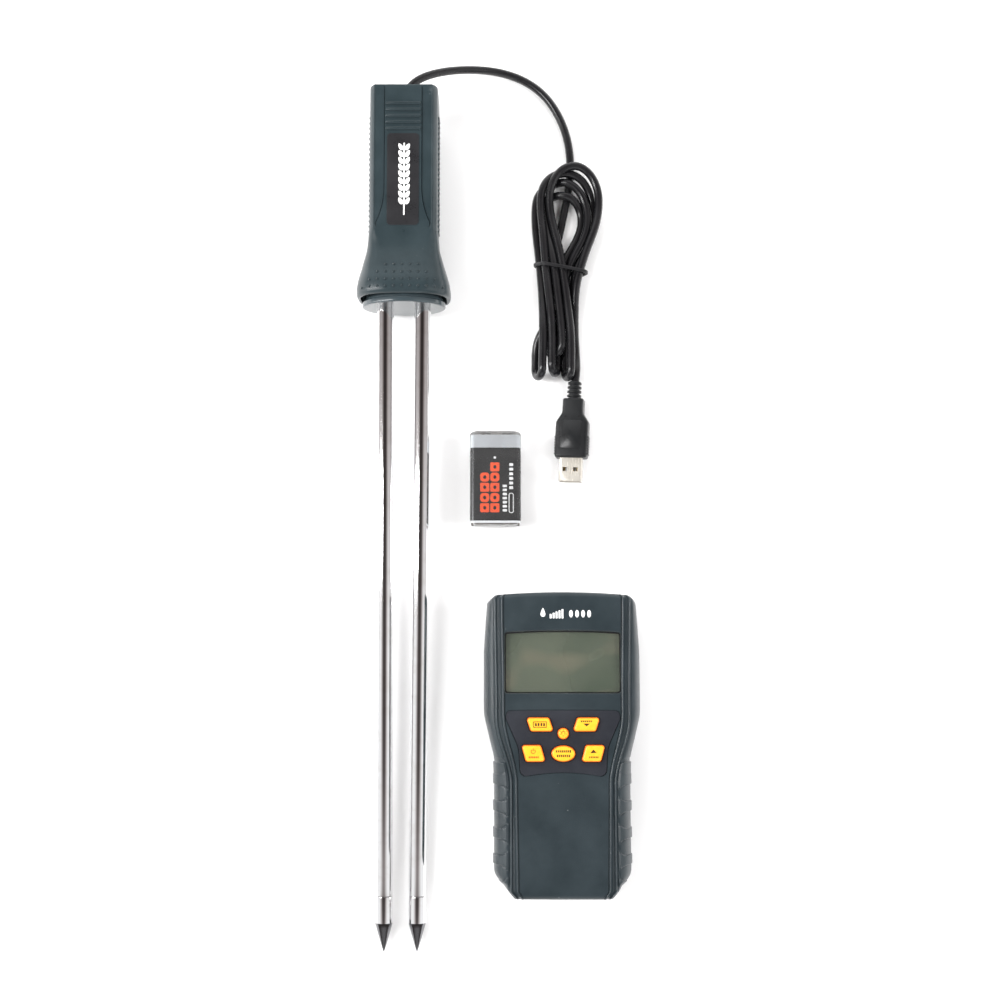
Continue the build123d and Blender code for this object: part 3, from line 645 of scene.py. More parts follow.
def shrunk(outline: Sequence[Flat], inset: float) -> list[Flat]:
    """An anticlockwise outline moved inwards.

    Args:
        outline: its points.
        inset: how far each point moves in.

    Returns:
        The new points.
    """
    result: list[Flat] = []
    for k, here in enumerate(outline):
        back, ahead = outline[k - 1], outline[(k + 1) % len(outline)]
        along = Vector((ahead[0] - back[0], ahead[1] - back[1])).normalized()
        result.append((here[0] - along.y * inset, here[1] + along.x * inset))
    return result


def slab(outline: Sequence[Flat], levels: Sequence[tuple[float, float]]) -> Mesh:
    """An upright solid on an outline, with its own inset at each level.

    Args:
        outline: anticlockwise points.
        levels: (height, inset) from the lowest to the highest.

    Returns:
        The mesh.
    """
    return loft([[(x, y, height) for x, y in shrunk(outline, inset)] for height, inset in levels])


def plate(outline: Sequence[Flat], low: float, high: float) -> Mesh:
    """An upright solid with straight sides, from one height to another."""
    return slab(outline, ((low, 0.0), (high, 0.0)))


def band(outer: Sequence[Flat], inner: Sequence[Flat], low: float, high: float) -> Mesh:
    """An upright ring between two outlines, from one height to another."""
    rings = ((outer, low), (outer, high), (inner, high), (inner, low))
    return hoop([[(x, y, z) for x, y in ring] for ring, z in rings])


def turned(profile: Sequence[Flat], segments: int = 48) -> Mesh:
    """A solid of revolution about the y axis.

    Args:
        profile: (radius, y) from one end to the other.
        segments: how many steps round.

    Returns:
        The mesh.
    """
    return loft([[(r * math.sin(a), y, r * math.cos(a)) for a in turn_of(segments)] for r, y in profile])


def smooth(low: float, high: float, value: float) -> float:
    """0 below low, 1 above high, and an S between them."""
    t = min(1.0, max(0.0, (value - low) / (high - low)))
    return t * t * (3 - 2 * t)


def flowing(table: Sequence[tuple[float, ...]], value: float) -> list[float]:
    """Values read off a table along a smooth curve through its rows.

    Args:
        table: rows whose first number rises.
        value: the place to read.

    Returns:
        The other numbers there.
    """
    k = max(0, min(len(table) - 2, sum(row[0] <= value for row in table) - 1))
    rows = [table[max(0, min(len(table) - 1, k + i))] for i in (-1, 0, 1, 2)]
    span = rows[2][0] - rows[1][0]
    t = min(1.0, max(0.0, (value - rows[1][0]) / span))
    result = []
    for column in range(1, len(table[0])):
        before, low, high, after = (row[column] for row in rows)
        rise = (high - before) / max(1e-6, rows[2][0] - rows[0][0]) * span
        fall = (after - low) / max(1e-6, rows[3][0] - rows[1][0]) * span
        result.append(
            (2 * t**3 - 3 * t**2 + 1) * low
            + (t**3 - 2 * t**2 + t) * rise
            + (3 * t**2 - 2 * t**3) * high
            + (t**3 - t**2) * fall
        )
    return result


def made(name: str, mesh: Mesh, finish: Finish, sharp: float = 40.0) -> bpy.types.Object:
    """Makes an object from a mesh in millimetres.

    Args:
        name: the piece's name.
        mesh: its points and faces.
        finish: what it is dressed in.
        sharp: the angle above which an edge stays crisp, in degrees.

    Returns:
        The object.
    """
    data = bpy.data.meshes.new(name)
    data.from_pydata([(x * MM, y * MM, z * MM) for x, y, z in mesh[0]], [], mesh[1])
    data.materials.append(finish.material())
    piece = bpy.data.objects.new(name, data)
    bpy.context.scene.collection.objects.link(piece)
    outward(piece)
    data.shade_smooth()
    data.set_sharp_from_angle(angle=math.radians(sharp))
    return piece


def outward(piece: bpy.types.Object) -> None:
    """Turns a piece's faces to the outside."""
    edit = bmesh.new()
    edit.from_mesh(piece.data)
    bmesh.ops.recalc_face_normals(edit, faces=edit.faces)
    edit.to_mesh(piece.data)
    edit.free()


def eased(piece: bpy.types.Object, width: float, segments: int = 2, angle: float = 35.0) -> bpy.types.Object:
    """Rounds a piece's crisp edges.

    Args:
        piece: the piece.
        width: of the rounding, in millimetres.
        segments: how many facets it has.
        angle: the edges sharper than this are rounded, in degrees.

    Returns:
        The piece.
    """
    bevel = piece.modifiers.new("eased_edges", "BEVEL")
    bevel.width = width * MM
    bevel.segments = segments
    bevel.limit_method = "ANGLE"
    bevel.angle_limit = math.radians(angle)
    bevel.miter_outer = "MITER_ARC"
    return piece


def applied(piece: bpy.types.Object) -> bpy.types.Object:
    """Makes a piece's modifiers part of its mesh."""
    held = bpy.context.evaluated_depsgraph_get()
    data = bpy.data.meshes.new_from_object(piece.evaluated_get(held))
    piece.modifiers.clear()
    piece.data = data
    return piece


def cut(piece: bpy.types.Object, tools: Sequence[Mesh], sharp: float = 30.0) -> bpy.types.Object:
    """Cuts shapes out of a piece.

    Args:
        piece: the piece.
        tools: the shapes, in millimetres; each is taken away in turn.
        sharp: the angle above which an edge stays crisp, in degrees.

    Returns:
        The piece.
    """
    for tool in tools:
        cutter = made("cutter", tool, Dress.FRAME)
        taking = piece.modifiers.new("cut", "BOOLEAN")
        taking.operation = "DIFFERENCE"
        taking.solver = "EXACT"
        taking.object = cutter
        applied(piece)
        bpy.data.objects.remove(cutter)
    while len(piece.data.materials) > 1:
        piece.data.materials.pop()
    piece.data.shade_smooth()
    piece.data.set_sharp_from_angle(angle=math.radians(sharp))
    return piece


def settle(
    piece: bpy.types.Object, body: str, stands_for: Sequence[str] = ()
) -> bpy.types.Object:
    """Hands a finished piece to the frame and reports it.

    Args:
        piece: the piece.
        body: the CAD body that it rides on.
        stands_for: the CAD nodes that it replaces.

    Returns:
        The piece.
    """
    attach(piece, body)
    if stands_for:
        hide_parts(*stands_for)
    log.info("%s rides on %s", piece.name, body)
    return piece


# ---------------------------------------------------------------- studio


@dataclass
class Studio:
    look_at: Point = (1.95, 7.2, 0.0)
    stand_off: Point = (0.0, -95.3, 723.7)
    tilt: float = 7.5
    lens: float = 50.0
    sensor: float = 36.0
    floor_half: float = 4.0
    floor_drop: float = 0.2
    floor_white: float = 0.95
    overhead: tuple[Flat, ...] = (
        (0.0, 1.0), (0.60, 1.0), (0.80, 0.72), (0.91, 0.30), (0.965, 0.09), (1.0, 0.06)
    )
    lengthwise: tuple[Flat, ...] = (
        (0.0, 1.0), (0.10, 1.0), (0.16, 0.12), (0.24, 0.12), (0.30, 1.0), (0.47, 1.0), (0.56, 0.52),
        (0.64, 0.28), (0.72, 0.40), (0.85, 1.0),
    )
    warmth: Flat = (0.14, 1.2)
    panels: tuple[tuple[str, Point, Flat, float, bool], ...] = (
        ("left_strip", (-1.1, 0.05, 0.85), (0.14, 1.3), 11.0, True),
        ("left_fill", (-1.1, 0.05, 1.0), (0.6, 1.5), 17.0, False),
        ("right_fill", (1.2, -0.05, 0.95), (0.6, 1.5), 20.0, False),
        ("head_fill", (-0.1, 1.35, 0.8), (1.3, 0.4), 12.0, False),
        ("foot_fill", (0.1, -1.35, 0.8), (1.3, 0.4), 6.0, False),
    )

    def camera(self) -> None:
        """Makes the camera."""
        data = bpy.data.cameras.new("camera")
        data.lens, data.sensor_width = self.lens, self.sensor
        data.clip_start, data.clip_end = 0.01, 20.0
        camera = bpy.data.objects.new("camera", data)
        camera.location = [(a + b) * MM for a, b in zip(self.look_at, self.stand_off)]
        camera.rotation_euler = (math.radians(self.tilt), 0.0, 0.0)
        bpy.context.scene.collection.objects.link(camera)
        bpy.context.scene.camera = camera

    def floor(self) -> None:
        """Makes the pale floor."""
        shader = Shader(bpy.data.materials.new("pale_floor"))
        surface = shader.principled({"Base Color": (self.floor_white,) * 3, "Roughness": 0.9})
        data = bpy.data.meshes.new("floor")
        half = self.floor_half
        corners = [(-half, -half, 0), (half, -half, 0), (half, half, 0), (-half, half, 0)]
        data.from_pydata(corners, [], [(0, 1, 2, 3)])
        data.materials.append(shader.finish(surface))
        floor = bpy.data.objects.new("floor", data)
        floor.location.z = -self.floor_drop * MM
        bpy.context.scene.collection.objects.link(floor)

    def panel(self, name: str, place: Point, size: Flat, power: float, mirrored: bool) -> None:
        """Adds a soft light.

        Args:
            name: the light's name.
            size: its width and height, in metres.
            power: in watts.
            mirrored: whether polished metal shows it.
        """
        data = bpy.data.lights.new(name, "AREA")
        data.shape, data.size, data.size_y, data.energy = "RECTANGLE", size[0], size[1], power
        light = bpy.data.objects.new(name, data)
        light.location = place
        light.visible_glossy = mirrored
        light.rotation_euler = (-Vector(place)).to_track_quat("-Z", "Y").to_euler()
        bpy.context.scene.collection.objects.link(light)

    def levels(self, shader: Shader, place: Value, stops: Sequence[Flat]) -> Value:
        """A ramp of brightness whose darks are slightly warm.

        Args:
            shader: the world's shader.
            place: where on the ramp to read.
            stops: (place, brightness) pairs.

        Returns:
            The colour.
        """
        colours = []
        for at, level in stops:
            warmth = self.warmth[0] * (1 - level)
            colours.append((at, (level, level * (1 - warmth), level * (1 - self.warmth[1] * warmth))))
        return shader.node("ShaderNodeValToRGB", {"stops": colours}, {0: place})

    def world(self) -> None:
        shader = Shader(bpy.data.worlds.new("surroundings"))
        direction = shader.node("ShaderNodeTexCoord").output("Generated")
        height = self.levels(shader, direction.axis("Z"), self.overhead)
        along = self.levels(shader, direction.axis("Y") * 0.5 + 0.5, self.lengthwise)
        light = shader.node(
            "ShaderNodeBackground", {}, {"Color": shader.between(1.0, height, along, "MULTIPLY")}
        )
        bpy.context.scene.world = shader.finish(light, "ShaderNodeOutputWorld")

    def build(self) -> None:
        """Builds the studio."""
        self.camera()
        self.floor()
        self.world()
        for panel in self.panels:
            self.panel(*panel)
        bpy.context.scene.view_settings.view_transform = "Standard"
        log.info("studio is up")


# ---------------------------------------------------------------- lead


@dataclass
class HankTurn:
    """One turn of the hank: a fold at the foot, a run up, a loop round the head and a run down."""

    low: Flat
    high: Flat
    end: float
    rise: tuple[Point, ...]
    crown: tuple[Point, ...]
    fall: tuple[Point, ...]

    def points(self) -> list[Point]:
        """The turn's control points.

        Returns:
            The points in order, from the foot of its lower leg.
        """
        across, up = self.high[0] - self.low[0], self.high[1] - self.low[1]
        reach = math.hypot(across, up) / 2
        middle = ((self.high[0] + self.low[0]) / 2, (self.high[1] + self.low[1]) / 2)
        foot = [
            (middle[0] + across / 2 * side, self.end + reach * (1 - out), middle[1] + up / 2 * side)
            for side, out in ((-1.0, 0.414), (-0.414, 1.0), (0.414, 1.0), (1.0, 0.414))
        ]
        return [*foot, *self.rise, *self.crown, *self.fall]


@dataclass
class Lead:
    """The probe's lead: out of the handle, down to the surface, four turns of a tied hank and the last run."""

    diameter: float = 4.3
    length: float = 1.20
    exit: Point = (-47.4, 221.0, 25.4)
    out_of_handle: tuple[Point, ...] = ((-50.6, 205.6, 24.55), (-50.3, 214.5, 25.05), (-46.2, 223.6, 25.5))
    route: tuple[Point, ...] = (
        (-39.6, 229.6, 24.1), (-29.2, 235.2, 18.8), (-16.6, 239.8, 11.4), (-3.0, 242.0, 5.2), (9.6, 240.0, 2.5),
        (19.6, 234.8, 2.3), (27.6, 227.4, 2.3), (33.6, 218.0, 2.3), (37.8, 207.2, 2.3), (39.7, 196.6, 2.4),
    )
    into_hank: tuple[Point, ...] = (
        (40.1, 186.0, 2.3), (39.3, 178.0, 2.2), (37.9, 169.5, 2.2), (35.9, 160.0, 2.2), (33.8, 150.0, 2.4),
        (31.0, 140.0, 3.2), (28.7, 131.0, 3.9), (28.2, 122.0, 3.2), (27.9, 112.0, 2.4), (27.3, 102.0, 2.2),
        (26.8, 93.5, 2.2),
    )
    into_plug: tuple[Point, ...] = ((41.4, 68.0, 5.9),)
    turns: tuple[HankTurn, ...] = (
        HankTurn(
            (26.8, 2.2), (34.6, 9.8), 84.0,
            ((34.6, 91.5, 9.8), (34.2, 98.0, 9.6), (33.4, 107.0, 9.2), (32.4, 116.0, 8.9), (31.0, 130.5, 8.0),
             (29.4, 141.0, 6.9), (27.7, 150.5, 4.2), (26.6, 159.0, 2.4)),
            ((26.0, 165.0, 2.2), (26.6, 168.8, 2.2), (28.6, 170.9, 2.3), (31.8, 171.5, 3.8), (35.4, 171.2, 6.4),
             (39.4, 170.2, 6.5), (42.6, 167.6, 4.8), (44.9, 163.8, 3.0)),
            ((45.9, 158.6, 2.3), (45.1, 152.6, 2.2), (42.7, 146.8, 2.3), (39.2, 140.6, 2.8), (35.8, 135.0, 3.6),
             (33.5, 129.5, 4.0), (32.6, 123.0, 4.2), (32.0, 116.0, 4.6), (31.2, 110.0, 5.2), (29.0, 104.0, 6.4),
             (25.6, 98.0, 6.6), (22.5, 93.4, 4.8), (20.9, 87.4, 2.6), (20.7, 79.0, 2.2)),
        ),
        HankTurn(
            (20.7, 2.2), (24.2, 10.3), 72.1,
            ((24.2, 79.0, 10.4), (24.4, 87.0, 10.6), (24.6, 97.0, 10.5), (24.6, 107.0, 8.6), (24.2, 118.5, 6.0),
             (23.4, 130.5, 4.1), (22.4, 141.0, 3.0), (21.3, 151.0, 2.3)),
            ((20.9, 159.0, 2.2), (21.0, 166.0, 2.2), (22.0, 171.2, 2.2), (24.8, 175.4, 2.2), (28.6, 177.9, 2.2),
             (32.6, 178.9, 3.2), (36.6, 178.6, 6.3), (40.8, 176.8, 6.5), (44.4, 173.4, 6.2), (47.0, 168.8, 5.8),
             (48.5, 163.4, 5.7)),
            ((49.0, 157.6, 5.9), (48.2, 151.8, 6.0), (46.2, 146.0, 6.1), (43.2, 140.6, 5.8), (40.4, 135.4, 5.0),
             (38.2, 130.0, 4.2), (36.8, 123.5, 3.2), (35.5, 116.0, 2.5), (34.2, 106.0, 2.2), (32.9, 96.0, 2.2),
             (32.3, 88.0, 2.2), (32.2, 81.0, 2.2)),
        ),
        HankTurn(
            (32.2, 2.2), (29.2, 10.0), 73.95,
            ((29.2, 81.0, 10.1), (29.2, 88.0, 10.2), (29.2, 96.0, 10.3), (28.7, 105.0, 10.5), (27.6, 117.0, 9.4),
             (26.2, 130.5, 7.9), (25.4, 141.0, 7.6), (24.8, 150.0, 7.2), (24.1, 158.0, 6.2)),
            ((23.6, 165.0, 5.9), (23.8, 171.6, 6.5), (25.9, 177.8, 6.5), (30.0, 182.2, 5.4), (34.6, 183.6, 5.2),
             (38.6, 183.4, 6.5), (42.4, 182.2, 6.5), (46.4, 179.4, 5.6), (49.4, 175.0, 4.2), (51.2, 169.6, 3.2),
             (52.0, 163.6, 2.6)),
            ((51.8, 157.6, 2.3), (50.5, 151.6, 2.2), (48.6, 145.8, 2.3), (46.4, 140.0, 2.8), (44.3, 135.0, 3.7),
             (42.8, 130.0, 4.0), (41.2, 123.5, 3.2), (39.8, 116.0, 2.4), (38.5, 106.0, 2.2), (37.2, 96.0, 2.2),
             (36.4, 87.0, 2.2), (36.3, 79.0, 2.2)),
        ),
        HankTurn(
            (36.3, 2.2), (39.3, 10.0), 71.65,
            ((39.3, 79.0, 10.0), (39.4, 87.0, 9.9), (39.2, 96.0, 9.6), (38.2, 106.0, 9.2), (36.9, 118.0, 8.7),
             (35.3, 130.5, 8.2), (33.5, 141.0, 7.9), (31.1, 151.0, 7.3), (29.3, 159.0, 6.5)),
            ((28.4, 166.0, 6.6), (28.5, 172.6, 7.4), (30.4, 178.6, 8.6), (34.2, 183.8, 9.5), (39.4, 186.4, 9.9),
             (44.8, 186.4, 9.0), (49.6, 183.4, 7.6), (53.1, 178.0, 6.9), (54.9, 171.2, 6.6), (54.8, 164.0, 6.6)),
            ((53.8, 157.0, 7.2), (52.0, 150.8, 7.8), (49.6, 144.4, 8.0), (47.0, 137.6, 7.9), (45.0, 131.0, 7.9),
             (43.0, 124.0, 7.6), (41.9, 116.5, 6.8), (41.6, 107.0, 5.4), (41.6, 97.0, 3.6), (42.0, 88.0, 2.5),
             (42.4, 80.5, 3.2), (42.3, 74.5, 5.7)),
        ),
    )
    tie_y: float = 130.5
    tie_middle: float = 34.3
    tie_slope: float = -11.0
    tie_thick: float = 1.3
    tie_width: float = 1.8

    def line(self) -> bpy.types.Object:
        """Makes the lead as one smooth spline.

        Returns:
            The lead.
        """
        points = [*self.out_of_handle, *self.route, *self.into_hank]
        for turn in self.turns:
            points += turn.points()
        points += self.into_plug
        curve = bpy.data.curves.new("lead", "CURVE")
        curve.dimensions = "3D"
        curve.bevel_depth = self.diameter / 2 * MM
        curve.bevel_resolution = 7
        curve.resolution_u = 8
        curve.use_fill_caps = True
        spline = curve.splines.new("NURBS")
        spline.points.add(len(points) - 1)
        for control, (x, y, z) in zip(spline.points, points):
            control.co = (x * MM, y * MM, z * MM, 1.0)
        spline.order_u = 3
        spline.use_endpoint_u = True
        curve.materials.append(Dress.CORD.material())
        lead = bpy.data.objects.new("lead", curve)
        bpy.context.scene.collection.objects.link(lead)
        return settle(lead, "probe", ("cord_tube", "cord_hank"))

    def tie(self) -> bpy.types.Object:
        """Makes the thin tie drawn round the hank's waist.

        Returns:
            The tie.
        """
        strands = ((23.5, 4.0), (26.3, 8.0), (31.0, 8.2), (35.4, 8.4), (45.0, 8.1), (43.6, 4.2), (28.6, 4.0))
        reach = self.diameter / 2 + self.tie_thick / 2 + 0.15
        section = rounded_box(self.tie_thick, self.tie_width, 0.45, 3)
        slope = math.tan(math.radians(self.tie_slope))
        rings = []
        for angle in turn_of(72):
            c, s = math.cos(angle), math.sin(angle)
            x, z = max(strands, key=lambda strand: strand[0] * c + strand[1] * s)
            x, z = x + reach * c, z + reach * s
            y = self.tie_y + (x - self.tie_middle) * slope
            rings.append([(x + u * c, y + v, max(0.35, z + u * s)) for u, v in section])
        tie = made("hank_wrap", hoop(rings), Dress.TIE, 60.0)
        return settle(tie, "probe", ("hank_tie",))

    def build(self, with_pieces: Sequence[bpy.types.Object]) -> None:
        """Builds the lead and its tie.

        Args:
            with_pieces: the pieces on its end; not used.
        """
        lead, tie = self.line(), self.tie()
        [c * MM for c in self.exit]


# ---------------------------------------------------------------- plug


@dataclass
class Plug:
    """The lead's plug: ribbed strain relief, moulded housing and plated shell."""

    start: Point = (41.4, 69.3, 5.9)
    yaw: float = -3.0
    roll: float = -12.0
    relief_length: float = 9.4
    housing_length: float = 31.6
    neck: float = 11.0
    width: float = 17.2
    depth: float = 8.0
    shell_width: float = 12.0
    shell_depth: float = 4.5
    shell_length: float = 12.4

    def laid(self, mesh: Mesh) -> Mesh:
        """A mesh written in the plug's own directions, laid in its place."""
        turn = Matrix.Rotation(math.radians(self.yaw), 4, "Z") @ Matrix.Rotation(
            math.radians(self.roll), 4, "Y"
        )
        return moved(mesh, lambda point: tuple(turn @ Vector(point) + Vector(self.start)))

    def across(self, outline: Sequence[Flat], y: float) -> list[Point]:
        """An outline stood square to the plug, at a distance y from its lead end."""
        return [(x, -y, z) for x, z in outline]

    def relief(self) -> bpy.types.Object:
        """Makes the tapered, ribbed strain relief.

        Returns:
            The strain relief.
        """
        rings = []
        steps = 96
        for i in range(steps + 1):
            y = self.relief_length * i / steps
            share = y / self.relief_length
            rib = math.sin(math.pi * min(1.0, ((y - 0.4) % 2.25) / 1.45)) if y > 0.4 else 0.0
            waist = 5.1 + 0.7 * share
            wide = waist + (7.5 - waist) * min(1.0, max(0.0, rib) * 2.2) * (0.86 + 0.14 * share)
            deep = waist + (6.4 - waist) * min(1.0, max(0.0, rib) * 2.2)
            rings.append(self.across(rounded_box(wide, deep, min(wide, deep) / 2 - 0.3), y))
        piece = made("strain_relief", self.laid(loft(rings)), Dress.PLUG, 60.0)
        return settle(piece, "probe", ("plug_strain_relief",))

    def housing(self) -> bpy.types.Object:
        """Makes the housing, with its side ribs and the raised frame on its face.

        Returns:
            The housing.
        """
        table = (
            (0.0, self.neck, 1.0), (6.6, self.neck + 0.1, 1.0), (8.2, self.neck + 0.7, 1.0),
            (11.6, self.width - 1.2, 1.0), (13.2, self.width, 1.0), (self.housing_length, self.width - 0.2, 1.0),
        )
        inner = [(0.0, 1.1), (0.12, 0.55), (0.4, 0.2), (0.9, 0.0)]
        outer = [(self.housing_length - y, inset) for y, inset in reversed(inner)]
        places = inner + [(1.5 + i * 0.7, 0.0) for i in range(42)] + outer
        rings = []
        for y, inset in places:
            wide = flowing(table, y)[0] - 2 * inset
            outline = rounded_box(wide, self.depth - 2 * inset, 1.7 - inset * 0.8)
            rings.append(self.across(outline, self.relief_length + y))
        parts = [loft(rings)]
        top = self.depth / 2
        for side in (-1, 1):
            for rib in range(7):
                y = self.relief_length + 20.2 + rib * 1.45
                bar = rounded_box(1.5, 5.6, 0.55, 4)
                levels = ((y, 0.25), (y + 0.12, 0.05), (y + 0.5, 0.0), (y + 0.82, 0.05), (y + 0.94, 0.25))
                wall = side * (self.width / 2 - 0.3)
                parts.append(loft([[(wall + x, -d, z) for x, z in shrunk(bar, i)] for d, i in levels]))
        raised = rounded_box(11.0, 15.4, 1.6)
        middle = -(self.relief_length + 19.6)
        levels = ((top - 0.4, 0.0), (top + 0.02, 0.0), (top + 0.14, 0.14))
        parts.append(shifted(slab(raised, levels), 0.0, middle))
        piece = made("plug_body", self.laid(joined(parts)), Dress.PLUG, 50.0)
        return settle(piece, "probe", ("plug_housing",))

    def dimples(self) -> bpy.types.Object:
        """Makes the two small dimples by the shoulders as flat dark discs, whose darkness is painted shade of
        the hollows.
        """
        top = self.depth / 2
        dome = slab(rounded_box(1.0, 1.0, 0.49, 5), ((top - 0.4, 0.0), (top + 0.02, 0.0), (top + 0.05, 0.1)))
        parts = [shifted(dome, x, -self.relief_length - 10.0) for x in (-3.6, 3.6)]
        return settle(made("plug_painted_hollow_shades", self.laid(joined(parts)), Dress.PAINTED_HOLLOW_SHADE), "probe")

    def shell(self) -> bpy.types.Object:
        """Makes the plated shell, with its rolled seam and two windows.

        Returns:
            The shell.
        """
        begin = self.relief_length + self.housing_length - 6.0
        end = self.relief_length + self.housing_length + self.shell_length
        skin = rounded_box(self.shell_width, self.shell_depth, 0.7, 5)
        inside = rounded_box(self.shell_width - 0.7, self.shell_depth - 0.7, 0.4, 5)
        levels = (
            (skin, begin), (skin, end - 0.25), (shrunk(skin, 0.1), end - 0.05), (shrunk(skin, 0.2), end),
            (inside, end - 0.02), (inside, begin),
        )
        rings = [self.across(outline, y) for outline, y in levels]
        piece = made("plug_sleeve", hoop(rings), Dress.NICKEL)
        mouth = -self.relief_length - self.housing_length
        drill = plate(rounded_box(2.4, 2.1, 0.3, 3), -4.0, 4.0)
        windows = [shifted(drill, x, mouth - 6.0) for x in (-2.75, 2.75)]
        groove = plate(rounded_box(0.22, self.shell_length - 0.6, 0.1, 2), self.shell_depth / 2 - 0.1, 4.0)
        seam = shifted(groove, 0.0, mouth - self.shell_length / 2)
        cut(piece, [joined(windows), seam])
        placed = self.laid(([tuple(v.co / MM) for v in piece.data.vertices], []))[0]
        for vertex, point in zip(piece.data.vertices, placed):
            vertex.co = Vector(point) * MM
        return settle(piece, "probe", ("plug_shell",))

    def build(self) -> list[bpy.types.Object]:
        """Builds the plug and returns its pieces."""
        return [self.relief(), self.housing(), self.dimples(), self.shell()]


# ---------------------------------------------------------------- probe


class Side(Enum):
    """Left or right, seen with the handle away from the eye."""

    LEFT = -1
    RIGHT = 1


